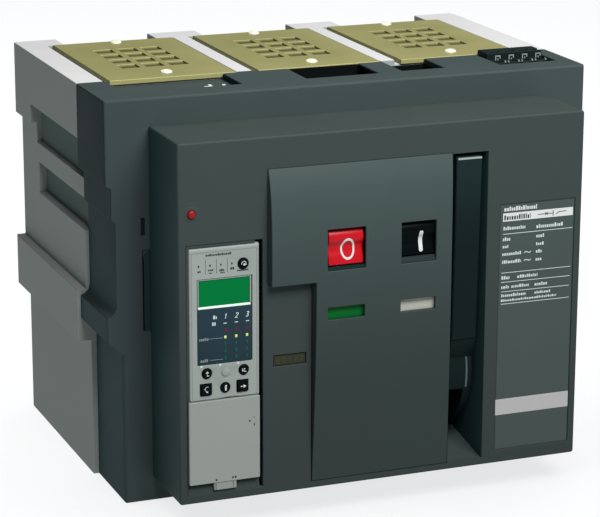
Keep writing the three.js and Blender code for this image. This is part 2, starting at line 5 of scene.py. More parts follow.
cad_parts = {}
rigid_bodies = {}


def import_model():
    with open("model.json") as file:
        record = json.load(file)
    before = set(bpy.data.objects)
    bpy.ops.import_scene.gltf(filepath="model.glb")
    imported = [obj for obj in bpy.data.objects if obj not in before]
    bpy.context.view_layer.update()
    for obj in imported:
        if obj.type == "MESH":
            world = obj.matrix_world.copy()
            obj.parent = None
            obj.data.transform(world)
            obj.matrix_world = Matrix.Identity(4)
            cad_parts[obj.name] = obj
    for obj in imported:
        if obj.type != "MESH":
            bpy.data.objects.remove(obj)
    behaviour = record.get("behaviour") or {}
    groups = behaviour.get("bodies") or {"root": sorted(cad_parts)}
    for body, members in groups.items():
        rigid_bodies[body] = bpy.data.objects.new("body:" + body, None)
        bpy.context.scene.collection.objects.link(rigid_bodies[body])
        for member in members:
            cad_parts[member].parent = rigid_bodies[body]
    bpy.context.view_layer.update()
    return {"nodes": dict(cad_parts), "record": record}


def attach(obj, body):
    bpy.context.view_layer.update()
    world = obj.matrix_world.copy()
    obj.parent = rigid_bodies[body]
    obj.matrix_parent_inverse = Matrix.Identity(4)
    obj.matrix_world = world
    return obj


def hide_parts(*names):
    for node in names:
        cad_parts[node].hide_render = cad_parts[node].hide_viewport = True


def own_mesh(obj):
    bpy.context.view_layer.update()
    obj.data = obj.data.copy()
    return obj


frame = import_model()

NODES = frame["nodes"]
MM = 0.001
ROOT = "breaker_body"
POLES = (("left", -115.0), ("centre", 0.0), ("right", 115.0))


# ------------------------------------------------------------------ colour and materials

def lin(rgb):
    out = []
    for c in rgb:
        c = c / 255.0
        out.append(c / 12.92 if c <= 0.04045 else ((c + 0.055) / 1.055) ** 2.4)
    return tuple(out) + (1.0,)


def mixed(a, k):
    return tuple(min(1.0, max(0.0, v * k)) for v in a[:3]) + (1.0,)


MATS = {}


def material(name, rgb, rough=0.5, metal=0.0, grain=0.00003, grain_size=0.0006, var=0.06, var_size=0.05,
             brushed=None, coat=0.0, spec=0.5, speckle=0.0, dust=0.0, emit=0.0, top=None, painted_light_fade=None, side=None, painted_light_fadex=None, side_up=None):
    """Moulded, painted or metal surface: slow colour drift, fine grain in the bump, and roughness that follows the
    drift.
    """
    if name in MATS:
        return MATS[name]
    m = bpy.data.materials.new(name)
    m.use_nodes = True
    nt = m.node_tree
    N, L = nt.nodes, nt.links
    bsdf = N["Principled BSDF"]
    base = lin(rgb)
    tc = N.new("ShaderNodeTexCoord")

    def noise(size, detail=3.0, rough_=0.55, stretch=None):
        n = N.new("ShaderNodeTexNoise")
        n.inputs["Scale"].default_value = 1.0 / size
        n.inputs["Detail"].default_value = detail
        n.inputs["Roughness"].default_value = rough_
        if stretch:
            mp = N.new("ShaderNodeMapping")
            mp.inputs["Scale"].default_value = stretch
            L.new(tc.outputs["Object"], mp.inputs["Vector"])
            L.new(mp.outputs["Vector"], n.inputs["Vector"])
        else:
            L.new(tc.outputs["Object"], n.inputs["Vector"])
        return n

    slow = noise(var_size, 4.0, 0.6)
    ramp = N.new("ShaderNodeValToRGB")
    ramp.color_ramp.elements[0].position = 0.30
    ramp.color_ramp.elements[1].position = 0.72
    ramp.color_ramp.elements[0].color = mixed(base, 1.0 - var)
    ramp.color_ramp.elements[1].color = mixed(base, 1.0 + var)
    L.new(slow.outputs["Fac"], ramp.inputs["Fac"])
    colour = ramp.outputs["Color"]

    fine = noise(grain_size, 2.0, 0.5, brushed)
    if speckle > 0.0:
        sr = N.new("ShaderNodeValToRGB")
        sr.color_ramp.elements[0].position = 0.42
        sr.color_ramp.elements[1].position = 0.60
        sr.color_ramp.elements[0].color = mixed(base, 1.0 - speckle)
        sr.color_ramp.elements[1].color = mixed(base, 1.0 + speckle)
        L.new(fine.outputs["Fac"], sr.inputs["Fac"])
        mx = N.new("ShaderNodeMix")
        mx.data_type = "RGBA"
        mx.inputs[0].default_value = 0.5
        L.new(colour, mx.inputs[6])
        L.new(sr.outputs["Color"], mx.inputs[7])
        colour = mx.outputs[2]
    if dust > 0.0:
        geo = N.new("ShaderNodeNewGeometry")
        pr = N.new("ShaderNodeValToRGB")
        pr.color_ramp.elements[0].position = 0.50
        pr.color_ramp.elements[1].position = 0.62
        pr.color_ramp.elements[0].color = (0, 0, 0, 1)
        pr.color_ramp.elements[1].color = (dust, dust, dust, 1)
        L.new(geo.outputs["Pointiness"], pr.inputs["Fac"])
        mx2 = N.new("ShaderNodeMix")
        mx2.data_type = "RGBA"
        L.new(pr.outputs["Color"], mx2.inputs[0])
        L.new(colour, mx2.inputs[6])
        mx2.inputs[7].default_value = mixed(base, 1.6)
        colour = mx2.outputs[2]
    if painted_light_fade:
        # painted light and shade: the colour is scaled with height, as the lamps fall off down the moulding
        z0, k0, z1, k1 = painted_light_fade
        sz = N.new("ShaderNodeSeparateXYZ")
        L.new(tc.outputs["Object"], sz.inputs["Vector"])
        mr = N.new("ShaderNodeMapRange")
        mr.interpolation_type = "SMOOTHSTEP"
        mr.inputs["From Min"].default_value = z0 * MM
        mr.inputs["From Max"].default_value = z1 * MM
        mr.inputs["To Min"].default_value = k0
        mr.inputs["To Max"].default_value = k1
        L.new(sz.outputs["Z"], mr.inputs["Value"])
        sc = N.new("ShaderNodeVectorMath")
        sc.operation = "SCALE"
        L.new(colour, sc.inputs[0])
        L.new(mr.outputs["Result"], sc.inputs["Scale"])
        colour = sc.outputs["Vector"]
    if painted_light_fadex:
        # painted shade: the colour is scaled across X, darker towards -X, for the shadow the fascia casts on the frame
        # front
        x0, k0, x1, k1 = painted_light_fadex
        s2 = N.new("ShaderNodeSeparateXYZ")
        L.new(tc.outputs["Object"], s2.inputs["Vector"])
        m2 = N.new("ShaderNodeMapRange")
        m2.interpolation_type = "SMOOTHSTEP"
        m2.inputs["From Min"].default_value = x0 * MM
        m2.inputs["From Max"].default_value = x1 * MM
        m2.inputs["To Min"].default_value = k0
        m2.inputs["To Max"].default_value = k1
        L.new(s2.outputs["X"], m2.inputs["Value"])
        sc2 = N.new("ShaderNodeVectorMath")
        sc2.operation = "SCALE"
        L.new(colour, sc2.inputs[0])
        L.new(m2.outputs["Result"], sc2.inputs["Scale"])
        colour = sc2.outputs["Vector"]
    if side:
        # painted shade: faces turned to -X get a multiplied tint that stands in for the side the lamps leave in shade
        geo3 = N.new("ShaderNodeNewGeometry")
        sx = N.new("ShaderNodeSeparateXYZ")
        L.new(geo3.outputs["Normal"], sx.inputs["Vector"])
        ms = N.new("ShaderNodeMapRange")
        ms.inputs["From Min"].default_value = -0.6
        ms.inputs["From Max"].default_value = -0.95
        L.new(sx.outputs["X"], ms.inputs["Value"])
        mx4 = N.new("ShaderNodeMix")
        mx4.data_type = "RGBA"
        mx4.blend_type = "MULTIPLY"
        mx4.inputs[7].default_value = (side[0], side[1], side[2], 1.0)
        L.new(ms.outputs["Result"], mx4.inputs[0])
        L.new(colour, mx4.inputs[6])
        colour = mx4.outputs[2]
        if side_up:
            # painted shade, deeper again towards the top of that side
            s3 = N.new("ShaderNodeSeparateXYZ")
            L.new(tc.outputs["Object"], s3.inputs["Vector"])
            m3 = N.new("ShaderNodeMapRange")
            m3.interpolation_type = "SMOOTHSTEP"
            m3.inputs["From Min"].default_value = side_up[0] * MM
            m3.inputs["From Max"].default_value = side_up[1] * MM
            L.new(s3.outputs["Z"], m3.inputs["Value"])
            both = N.new("ShaderNodeMath")
            both.operation = "MULTIPLY"
            L.new(ms.outputs["Result"], both.inputs[0])
            L.new(m3.outputs["Result"], both.inputs[1])
            mx5 = N.new("ShaderNodeMix")
            mx5.data_type = "RGBA"
            mx5.blend_type = "MULTIPLY"
            mx5.inputs[7].default_value = (side_up[2], side_up[3], side_up[4], 1.0)
            L.new(both.outputs["Value"], mx5.inputs[0])
            L.new(colour, mx5.inputs[6])
            colour = mx5.outputs[2]
    if top:
        # painted light: upward faces get a paler colour, as if lit strongly from above
        geo2 = N.new("ShaderNodeNewGeometry")
        sep = N.new("ShaderNodeSeparateXYZ")
        L.new(geo2.outputs["Normal"], sep.inputs["Vector"])
        tr = N.new("ShaderNodeValToRGB")
        tr.color_ramp.elements[0].position = 0.80
        tr.color_ramp.elements[1].position = 0.97
        tr.color_ramp.elements[0].color = (0, 0, 0, 1)
        tr.color_ramp.elements[1].color = (1, 1, 1, 1)
        L.new(sep.outputs["Z"], tr.inputs["Fac"])
        top_lit_colour = N.new("ShaderNodeValToRGB")
        top_lit_colour.color_ramp.elements[0].position = 0.30
        top_lit_colour.color_ramp.elements[1].position = 0.72
        top_lit_colour.color_ramp.elements[0].color = mixed(lin(top), 1.0 - var)
        top_lit_colour.color_ramp.elements[1].color = mixed(lin(top), 1.0 + var)
        L.new(slow.outputs["Fac"], top_lit_colour.inputs["Fac"])
        mx3 = N.new("ShaderNodeMix")
        mx3.data_type = "RGBA"
        L.new(tr.outputs["Color"], mx3.inputs[0])
        L.new(colour, mx3.inputs[6])
        L.new(top_lit_colour.outputs["Color"], mx3.inputs[7])
        colour = mx3.outputs[2]
    L.new(colour, bsdf.inputs["Base Color"])

    rr = N.new("ShaderNodeMapRange")
    rr.inputs["From Min"].default_value = 0.3
    rr.inputs["From Max"].default_value = 0.7
    rr.inputs["To Min"].default_value = max(0.02, rough - 0.05)
    rr.inputs["To Max"].default_value = min(1.0, rough + 0.05)
    L.new(slow.outputs["Fac"], rr.inputs["Value"])
    L.new(rr.outputs["Result"], bsdf.inputs["Roughness"])

    bump = N.new("ShaderNodeBump")
    bump.inputs["Strength"].default_value = 1.0
    bump.inputs["Distance"].default_value = grain
    L.new(fine.outputs["Fac"], bump.inputs["Height"])
    L.new(bump.outputs["Normal"], bsdf.inputs["Normal"])

    bsdf.inputs["Metallic"].default_value = metal
    bsdf.inputs["Specular IOR Level"].default_value = spec
    if coat:
        bsdf.inputs["Coat Weight"].default_value = coat
        bsdf.inputs["Coat Roughness"].default_value = 0.15
    if emit:
        bsdf.inputs["Emission Color"].default_value = base
        bsdf.inputs["Emission Strength"].default_value = emit
    MATS[name] = m
    return m


# Painted light and shade in the mouldings below: the case, frame and fascia have paler upward faces, the frame and
# fascia tinted faces turned to -X, and frame, fascia and panel colours ramp with height, the frame also across its
# front.
M_CASE = material("case_moulding_grey", (127, 134, 131), 0.7, var=0.03, grain=0.00005, grain_size=0.0009, speckle=0.04, dust=0.1, spec=0.06, top=(172, 172, 172))
M_FRAME = material("frame_moulding_dark", (50, 59, 59), 0.62, var=0.05, grain=0.00004, grain_size=0.0007, speckle=0.06, spec=0.04, painted_light_fade=(70.0, 1.12, 285.0, 1.0), side=(0.68, 1.04, 1.06), side_up=(150.0, 260.0, 0.56, 0.62, 0.63), painted_light_fadex=(-186.0, 0.84, -110.0, 1.0), top=(51, 60, 60))
M_FASCIA = material("fascia_moulding_dark", (44, 52, 51), 0.56, var=0.04, grain=0.00004, grain_size=0.0006, speckle=0.06, spec=0.07, painted_light_fade=(20.0, 0.86, 250.0, 0.97), side=(0.78, 1.2, 1.24), top=(46, 54, 53))
M_PANEL = material("panel_moulding_grey", (45, 56, 55), 0.50, var=0.04, grain=0.000035, grain_size=0.0006, speckle=0.06, dust=0.05, spec=0.12, painted_light_fade=(90.0, 0.64, 265.0, 1.08))
M_PLATE = material("rating_film", (52, 61, 60), 0.42, var=0.03, grain=0.00001, grain_size=0.0012, spec=0.08)
M_OLIVE = material("cover_bronze_plate", (126, 123, 80), 0.50, metal=0.2, var=0.05, grain=0.00003, grain_size=0.0010, speckle=0.05, brushed=(1.0, 6.0, 1.0), dust=0.3, spec=0.3)
M_VENT = material("vent_mesh_bronze", (60, 58, 33), 0.7, metal=0.1, var=0.08, grain=0.00006, grain_size=0.0008, speckle=0.12, spec=0.1)
M_STEEL = material("zinc_steel", (196, 196, 190), 0.32, metal=0.95, var=0.05, grain=0.00002, grain_size=0.0012, brushed=(1.0, 8.0, 1.0))
M_DSTEEL = material("phosphated_steel", (112, 117, 120), 0.46, metal=0.9, var=0.08, grain=0.00003, grain_size=0.0010)
M_SPRING = material("spring_steel", (138, 142, 146), 0.30, metal=0.95, var=0.06, grain=0.00002, grain_size=0.0006)
M_COPPER = material("bare_copper", (206, 132, 88), 0.30, metal=0.95, var=0.07, var_size=0.02, grain=0.00003, grain_size=0.0009, brushed=(1.0, 7.0, 1.0))
M_FIBRE = material("vulcanised_fibre", (206, 196, 168), 0.72, var=0.07, grain=0.00006, grain_size=0.0009, speckle=0.08)
M_COIL = material("coil_resin", (48, 51, 53), 0.58, var=0.08, grain=0.00005, grain_size=0.0011)
# painted light: the lever's colour brightens towards its top
M_HANDLE = material("handle_nylon_black", (12, 22, 22), 0.5, var=0.08, grain=0.00005, grain_size=0.0007, speckle=0.08, dust=0.05, spec=0.04, painted_light_fade=(180.0, 0.93, 255.0, 1.75))
M_RED = material("button_red", (150, 2, 16), 0.36, var=0.05, grain=0.00001, grain_size=0.0006, spec=0.2)
M_BLACK = material("button_black", (3, 7, 8), 0.40, var=0.10, grain=0.00002, grain_size=0.0006, spec=0.03)
M_TERM = material("terminal_black", (14, 24, 25), 0.55, var=0.10, grain=0.00004, grain_size=0.0007, spec=0.08)
M_GREEN = material("flag_green", (1, 80, 30), 0.5, var=0.05, grain=0.00001, grain_size=0.0008, spec=0.08)
M_WHITE = material("flag_white", (146, 146, 138), 0.5, var=0.03, grain=0.00002, grain_size=0.0008, spec=0.1)
M_TRIP = material("trip_unit_grey", (111, 117, 114), 0.50, var=0.03, grain=0.00003, grain_size=0.0006, speckle=0.04, dust=0.2, spec=0.2)
M_COVER = material("trip_cover_grey", (109, 114, 110), 0.46, var=0.03, grain=0.00003, grain_size=0.0006, speckle=0.04, dust=0.2, spec=0.2)
M_LCD = material("lcd_green", (0, 88, 42), 0.45, var=0.03, grain=0.000005, grain_size=0.002, spec=0.03)
M_LEDP = material("led_panel_blue", (27, 42, 50), 0.45, var=0.04, grain=0.000005, grain_size=0.002, spec=0.05)
M_COUNT = material("counter_dark", (40, 42, 26), 0.4, var=0.06, grain=0.00001, grain_size=0.001, spec=0.1)
M_COUNT2 = material("counter_wheel", (34, 38, 28), 0.4, var=0.06, grain=0.00001, grain_size=0.001, spec=0.1)
M_KEY = material("key_black", (5, 8, 8), 0.5, var=0.10, grain=0.00001, grain_size=0.0005, spec=0.03)
M_PRINT = material("print_white", (166, 169, 168), 0.5, var=0.02, grain=0.00001, grain_size=0.0008, spec=0.1)
M_PRINT2 = material("print_grey", (158, 166, 165), 0.5, var=0.02, grain=0.00001, grain_size=0.0008, spec=0.1)
M_PRINTK = material("print_dark", (34, 38, 38), 0.5, var=0.03, grain=0.00001, grain_size=0.0008, spec=0.1)
M_SILVER = material("silver_strip", (138, 138, 138), 0.5, metal=0.0, var=0.03, grain=0.00001, grain_size=0.0012, brushed=(8.0, 1.0, 1.0), spec=0.2)
M_YEL = material("led_yellow", (172, 176, 96), 0.4, var=0.02, grain=0.000005, grain_size=0.001, spec=0.1, emit=0.08)
M_LRED = material("led_red", (92, 18, 30), 0.4, var=0.02, grain=0.000005, grain_size=0.001, spec=0.1)
M_LGRN = material("led_green", (12, 66, 46), 0.4, var=0.02, grain=0.000005, grain_size=0.001, spec=0.1)
M_BORE = material("shadow_black", (5, 8, 8), 0.8, var=0.05, grain=0.00002, grain_size=0.001, spec=0.05)

M_VENT2 = material("vent_slat_bronze", (72, 69, 40), 0.6, metal=0.1, var=0.08, grain=0.00004, grain_size=0.0008, speckle=0.1, spec=0.15)
M_SCREW = material("screw_pale_zinc", (214, 212, 190), 0.36, metal=0.2, var=0.05, grain=0.00001, grain_size=0.0008, spec=0.6)
# painted shade: the two sill colours are darkened copies of the panel grey
M_SILL = material("sill_shadowed", (12, 28, 28), 0.6, var=0.05, grain=0.00002, grain_size=0.0008, spec=0.03)
M_YEL2 = material("flag_yellow", (224, 178, 20), 0.45, var=0.05, grain=0.00001, grain_size=0.0008)
M_LIP_HIGHLIGHT = material("lcd_lip_highlight", (172, 186, 178), 0.4, var=0.02, grain=0.00001, grain_size=0.0008, spec=0.1)
M_SCALE = material("print_scale_grey", (96, 106, 106), 0.5, var=0.02, grain=0.00001, grain_size=0.0008, spec=0.2)
M_LINE = material("fine_line_grey", (84, 90, 88), 0.6, var=0.03, grain=0.00001, grain_size=0.0008, spec=0.2)
M_TIP_HIGHLIGHT = material("handle_tip_highlight", (118, 128, 128), 0.5, var=0.04, grain=0.00001, grain_size=0.0008, spec=0.1)
M_RIM_HIGHLIGHT = material("handle_rim_highlight", (44, 62, 62), 0.4, var=0.05, grain=0.00002, grain_size=0.0008)
M_SILL_HALF_SHADE = material("sill_half_shade", (30, 38, 38), 0.6, var=0.05, grain=0.00002, grain_size=0.0008, spec=0.03)
# painted shade: a darker copy of the case grey for the pocket floors
M_POCKET_SHADE = material("case_pocket_shade", (76, 92, 88), 0.75, var=0.04, grain=0.00005, grain_size=0.0009, speckle=0.04, spec=0.03)
M_CDIG = material("counter_digit", (50, 52, 36), 0.5, var=0.02, grain=0.00001, grain_size=0.0008, spec=0.1)
M_RESET = material("reset_button_red", (108, 5, 15), 0.42, var=0.04, grain=0.00001, grain_size=0.0008, spec=0.2)
M_SLOT_SHADE = material("slot_painted_shade", (29, 43, 43), 0.6, var=0.04, grain=0.00003, grain_size=0.0008, spec=0.04)
M_SLOT_DEEP_SHADE = material("slot_painted_deep_shade", (17, 28, 28), 0.6, var=0.04, grain=0.00003, grain_size=0.0008, spec=0.04)
M_PIN = material("terminal_pin_plate", (118, 125, 123), 0.45, var=0.04, grain=0.00001, grain_size=0.0008, spec=0.2)

CAD_MATS = {
    "rear_case": M_CASE, "front_frame": M_FRAME, "front_fascia": M_FASCIA, "center_panel": M_PANEL,
    "rating_plate": M_PLATE, "pole_shaft": M_STEEL, "mechanism_frame": M_DSTEEL, "cam_shaft": M_STEEL,
    "charging_handle": M_HANDLE, "spring_crosshead": M_DSTEEL, "closing_spring": M_SPRING,
    "off_button": M_RED, "on_button": M_BLACK, "trip_reset_button": M_RED, "contact_flag": M_GREEN,
    "spring_flag": M_WHITE, "operation_counter": M_COUNT, "opening_latch_shaft": M_DSTEEL,
    "closing_latch_shaft": M_DSTEEL, "trip_unit_body": M_TRIP, "trip_unit_display": M_LEDP,
    "trip_unit_cover": M_COVER, "aux_terminal_block": M_TERM, "shunt_trip_coil": M_COIL,
    "closing_coil": M_COIL, "shunt_trip_plunger": M_STEEL, "closing_coil_plunger": M_STEEL,
}
for p, _ in POLES:
    CAD_MATS[f"arc_chute_cover_{p}"] = M_OLIVE
    CAD_MATS[f"cover_screw_front_{p}"] = M_STEEL
    CAD_MATS[f"cover_screw_rear_{p}"] = M_STEEL
    CAD_MATS[f"arc_chute_{p}"] = M_FIBRE
    CAD_MATS[f"line_terminal_{p}"] = M_COPPER
    CAD_MATS[f"load_terminal_{p}"] = M_COPPER
    CAD_MATS[f"current_transformer_{p}"] = M_COIL
    CAD_MATS[f"moving_contact_{p}"] = M_COPPER
    CAD_MATS[f"drive_link_{p}"] = M_STEEL
for k in ("trip_test_key", "trip_up_key", "trip_down_key", "trip_menu_key", "trip_info_key", "trip_enter_key"):
    CAD_MATS[k] = M_KEY


# ------------------------------------------------------------------ mesh helpers

def body_of(node):
    for b, ns in frame["record"]["behaviour"]["bodies"].items():
        if node in ns:
            return b


def paint(o, mat):
    o.data.materials.clear()
    o.data.materials.append(mat)


def obj_from_bm(name, bm, mat, body, smooth=True):
    me = bpy.data.meshes.new(name)
    bm.normal_update()
    bm.to_mesh(me)
    bm.free()
    me.materials.append(mat)
    o = bpy.data.objects.new(name, me)
    bpy.context.scene.collection.objects.link(o)
    if smooth:
        for poly in me.polygons:
            poly.use_smooth = True
        me.set_sharp_from_angle(angle=math.radians(38))
    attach(o, body)
    return o


def bevelled(bm, r, seg=3, angle=30):
    if r <= 0:
        return
    es = [e for e in bm.edges if len(e.link_faces) == 2 and e.calc_face_angle(0) > math.radians(angle)]
    bmesh.ops.bevel(bm, geom=es, offset=r * MM, segments=seg, profile=0.5, affect="EDGES", clamp_overlap=True)


def prism_bm(pts, axis, a, b, bm=None):
    """Outline swept along an axis; outline points are the other two coordinates in x, y, z order, in mm."""
    bm = bm or bmesh.new()

    def at(u, v, w):
        return {"x": (w, u, v), "y": (u, w, v), "z": (u, v, w)}[axis]
    lo = [bm.verts.new([c * MM for c in at(u, v, a)]) for u, v in pts]
    hi = [bm.verts.new([c * MM for c in at(u, v, b)]) for u, v in pts]
    n = len(pts)
    bm.faces.new(lo)
    bm.faces.new(hi)
    for i in range(n):
        bm.faces.new((lo[i], lo[(i + 1) % n], hi[(i + 1) % n], hi[i]))
    bmesh.ops.recalc_face_normals(bm, faces=bm.faces[:])
    return bm


def prism(name, pts, axis, a, b, mat, body, r=0.0, seg=3):
    bm = prism_bm(pts, axis, a, b)
    bevelled(bm, r, seg)
    return obj_from_bm(name, bm, mat, body)


def rbox(name, x0, x1, y0, y1, z0, z1, mat, body, r=0.3, seg=3):
    return prism(name, [(x0, y0), (x1, y0), (x1, y1), (x0, y1)], "z", z0, z1, mat, body, r, seg)


def circle(cx, cz, r, n=32, a0=0.0):
    return [(cx + r * math.cos(a0 + 2 * math.pi * i / n), cz + r * math.sin(a0 + 2 * math.pi * i / n)) for i in range(n)]


def lathe_bm(profile, axis, cu, cv, n=40, bm=None):
    """profile: (radius, position along axis) in mm, starting and ending on the axis."""
    bm = bm or bmesh.new()

    def at(u, v, w):
        return {"x": (w, u, v), "y": (u, w, v), "z": (u, v, w)}[axis]
    rings = []
    for r, w in profile:
        if r < 1e-6:
            rings.append([bm.verts.new([c * MM for c in at(cu, cv, w)])])
        else:
            rings.append([bm.verts.new([c * MM for c in at(cu + r * math.cos(2 * math.pi * i / n), cv + r * math.sin(2 * math.pi * i / n), w)]) for i in range(n)])
    for a, b in zip(rings, rings[1:]):
        for i in range(n):
            j = (i + 1) % n
            if len(a) == 1 and len(b) == 1:
                continue
            if len(a) == 1:
                bm.faces.new((a[0], b[i], b[j]))
            elif len(b) == 1:
                bm.faces.new((a[i], a[j], b[0]))
            else:
                bm.faces.new((a[i], a[j], b[j], b[i]))
    if profile[0] == profile[-1]:
        bmesh.ops.remove_doubles(bm, verts=bm.verts[:], dist=1e-7)
        bmesh.ops.recalc_face_normals(bm, faces=bm.faces[:])
    bmesh.ops.recalc_face_normals(bm, faces=bm.faces[:])
    return bm


def lathe(name, profile, axis, cu, cv, mat, body, n=40):
    return obj_from_bm(name, lathe_bm(profile, axis, cu, cv, n), mat, body)


def ring_bm(outer, inner, axis, a, b, bm=None):
    """Flat ring between two outlines with the same number of points."""
    bm = bm or bmesh.new()

    def at(u, v, w):
        return {"x": (w, u, v), "y": (u, w, v), "z": (u, v, w)}[axis]
    vs = [[bm.verts.new([c * MM for c in at(u, v, w)]) for u, v in pts] for pts in (outer, inner) for w in (a, b)]
    oa, ob, ia, ib = vs
    n = len(outer)
    for i in range(n):
        j = (i + 1) % n
        bm.faces.new((oa[i], oa[j], ia[j], ia[i]))
        bm.faces.new((ob[i], ob[j], ib[j], ib[i]))
        bm.faces.new((oa[i], oa[j], ob[j], ob[i]))
        bm.faces.new((ia[i], ia[j], ib[j], ib[i]))
    bmesh.ops.recalc_face_normals(bm, faces=bm.faces[:])
    return bm


# ------------------------------------------------------------------ rounded shells from the carried-over solids

def rounded(node, r=0.5, seg=3, sharp=32.0, radius=None, mat=None, name=None, stats=False):
    """The node's solid with each sharp edge rounded, as moulding or pressing leaves it.

    The faces of the solid are gathered into flat regions. Each region's outline steps in by the edge's own radius,
    a strip of quads rolls over each sharp edge, and a small patch closes each corner. Normals are set from the true
    surfaces, so flats stay flat and rounds stay round. radius(mid, along, n1, n2) may give another radius for an edge.
    """
    src = NODES[node]
    bm = bmesh.new()
    bm.from_mesh(src.data)
    bmesh.ops.remove_doubles(bm, verts=bm.verts[:], dist=2e-6)
    bmesh.ops.dissolve_limit(bm, angle_limit=math.radians(0.5), verts=bm.verts[:], edges=bm.edges[:], use_dissolve_boundaries=False)
    bm.normal_update()
    bm.faces.ensure_lookup_table()
    bm.verts.ensure_lookup_table()
    bm.verts.index_update()
    bm.faces.index_update()
    co = [v.co.copy() for v in bm.verts]
    flat = math.cos(math.radians(0.6))
    region = [-1] * len(bm.faces)
    rn = []
    for f0 in bm.faces:
        if region[f0.index] >= 0:
            continue
        k = len(rn)
        acc = Vector((0, 0, 0))
        region[f0.index] = k
        stack = [f0]
        while stack:
            f = stack.pop()
            acc += f.normal * f.calc_area()
            for e in f.edges:
                for g in e.link_faces:
                    if g is not f and region[g.index] < 0 and g.normal.dot(f0.normal) > flat:
                        region[g.index] = k
                        stack.append(g)
        rn.append(acc.normalized())
    # directed edges between regions
    nxt = {}
    reg_of = {}
    for f in bm.faces:
        for l in f.loops:
            a, b = l.vert.index, l.link_loop_next.vert.index
            other = l.link_loop_radial_next.face
            if region[other.index] == region[f.index]:
                continue
            m = l.link_loop_next
            guard = 0
            while region[m.link_loop_radial_next.face.index] == region[m.face.index]:
                m = m.link_loop_radial_next.link_loop_next
                guard += 1
                if guard > 200:
                    break
            nxt[(a, b)] = (m.vert.index, m.link_loop_next.vert.index)
            reg_of[(a, b)] = region[f.index]
    bm.free()
    # drop vertices where only two regions meet: the edge runs straight through them
    corners_at = {}
    for h in nxt:
        corners_at.setdefault(h[0], []).append(h)
    gone = {v for v, hs in corners_at.items() if len(hs) == 2 and len({reg_of[h] for h in hs}) == 2}
    loops = []
    seen = set()
    for h in list(nxt):
        if h in seen:
            continue
        ring = []
        k = h
        while k not in seen:
            seen.add(k)
            ring.append(k[0])
            k = nxt[k]
        ring2 = [v for v in ring if v not in gone]
        if len(ring2) >= 3:
            loops.append((reg_of[h], ring2))
    edge_reg = {}
    for li, (k, ring) in enumerate(loops):
        for i, a in enumerate(ring):
            edge_reg[(a, ring[(i + 1) % len(ring)])] = (k, li, i)
    # step of each edge
    step = {}
    soft = set()
    for (a, b), (k, li, i) in edge_reg.items():
        if (b, a) not in edge_reg:
            return None
        k2 = edge_reg[(b, a)][0]
        ang = math.degrees(rn[k].angle(rn[k2], 0.0))
        key = (min(a, b), max(a, b))
        if ang < sharp:
            step[key] = 0.0
            soft.add(key)
        else:
            rr = r
            if radius:
                got = radius((co[a] + co[b]) / 2 / MM, (co[b] - co[a]).normalized(), rn[k], rn[k2])
                rr = r if got is None else got
            step[key] = rr * MM * min(1.6, math.tan(math.radians(ang) / 2))
    K = lambda a, b: (min(a, b), max(a, b))

    def seg_dist(p, q, s, t):
        def pd(x, u, v):
            w = v - u
            L = w.length_squared
            h = 0.0 if L == 0 else max(0.0, min(1.0, (x - u).dot(w) / L))
            return (x - (u + w * h)).length
        return min(pd(p, s, t), pd(q, s, t), pd(s, p, q), pd(t, p, q))

    by_region = {}
    for li, (k, ring) in enumerate(loops):
        for i, a in enumerate(ring):
            by_region.setdefault(k, []).append((a, ring[(i + 1) % len(ring)]))
    for k, es in by_region.items():
        big = max(step[K(*e)] for e in es)
        if big <= 0:
            continue
        for i in range(len(es)):
            for j in range(i + 1, len(es)):
                a, b = es[i]
                c, d = es[j]
                if a in (c, d) or b in (c, d):
                    continue
                s1, s2 = step[K(a, b)], step[K(c, d)]
                if s1 + s2 <= 0:
                    continue
                if max(min(co[a].x, co[b].x), min(co[c].x, co[d].x)) - min(max(co[a].x, co[b].x), max(co[c].x, co[d].x)) > 2.2 * big:
                    continue
                if max(min(co[a].y, co[b].y), min(co[c].y, co[d].y)) - min(max(co[a].y, co[b].y), max(co[c].y, co[d].y)) > 2.2 * big:
                    continue
                if max(min(co[a].z, co[b].z), min(co[c].z, co[d].z)) - min(max(co[a].z, co[b].z), max(co[c].z, co[d].z)) > 2.2 * big:
                    continue
                D = seg_dist(co[a], co[b], co[c], co[d]) * 0.92
                if s1 + s2 > D:
                    f = D / (s1 + s2)
                    step[K(a, b)] = s1 * f
                    step[K(c, d)] = s2 * f

    def corner(k, u, v, w):
        """Where the region's outline turns at v after both edges step in, with the shift along each edge."""
        n = rn[k]
        e1 = (co[v] - co[u]).normalized()
        e2 = (co[w] - co[v]).normalized()
        m1 = n.cross(e1)
        m2 = n.cross(e2)
        d1, d2 = step[K(u, v)], step[K(v, w)]
        s = e1.cross(e2).dot(n)
        if abs(s) < 0.03:
            return co[v] + (m1 + m2).normalized() * ((d1 + d2) / 2), 0.0, 0.0
        c = e1.dot(e2)
        t1 = (d2 - d1 * c) / s       # shift back along e1 to the turn
        p = co[v] + m1 * d1 - e1 * t1
        t2 = (d1 - d2 * c) / s
        return p, t1, t2

    for _ in range(14):
        clean = True
        for k, ring in loops:
            n = len(ring)
            cs = [corner(k, ring[i - 1], ring[i], ring[(i + 1) % n]) for i in range(n)]
            for i in range(n):
                a, b = ring[i], ring[(i + 1) % n]
                L = (co[b] - co[a]).length
                if L - cs[i][2] - cs[(i + 1) % n][1] < 0.08 * L:
                    clean = False
                    for e in (K(ring[i - 1], a), K(a, b), K(b, ring[(i + 2) % n])):
                        step[e] *= 0.72
        if clean:
            break
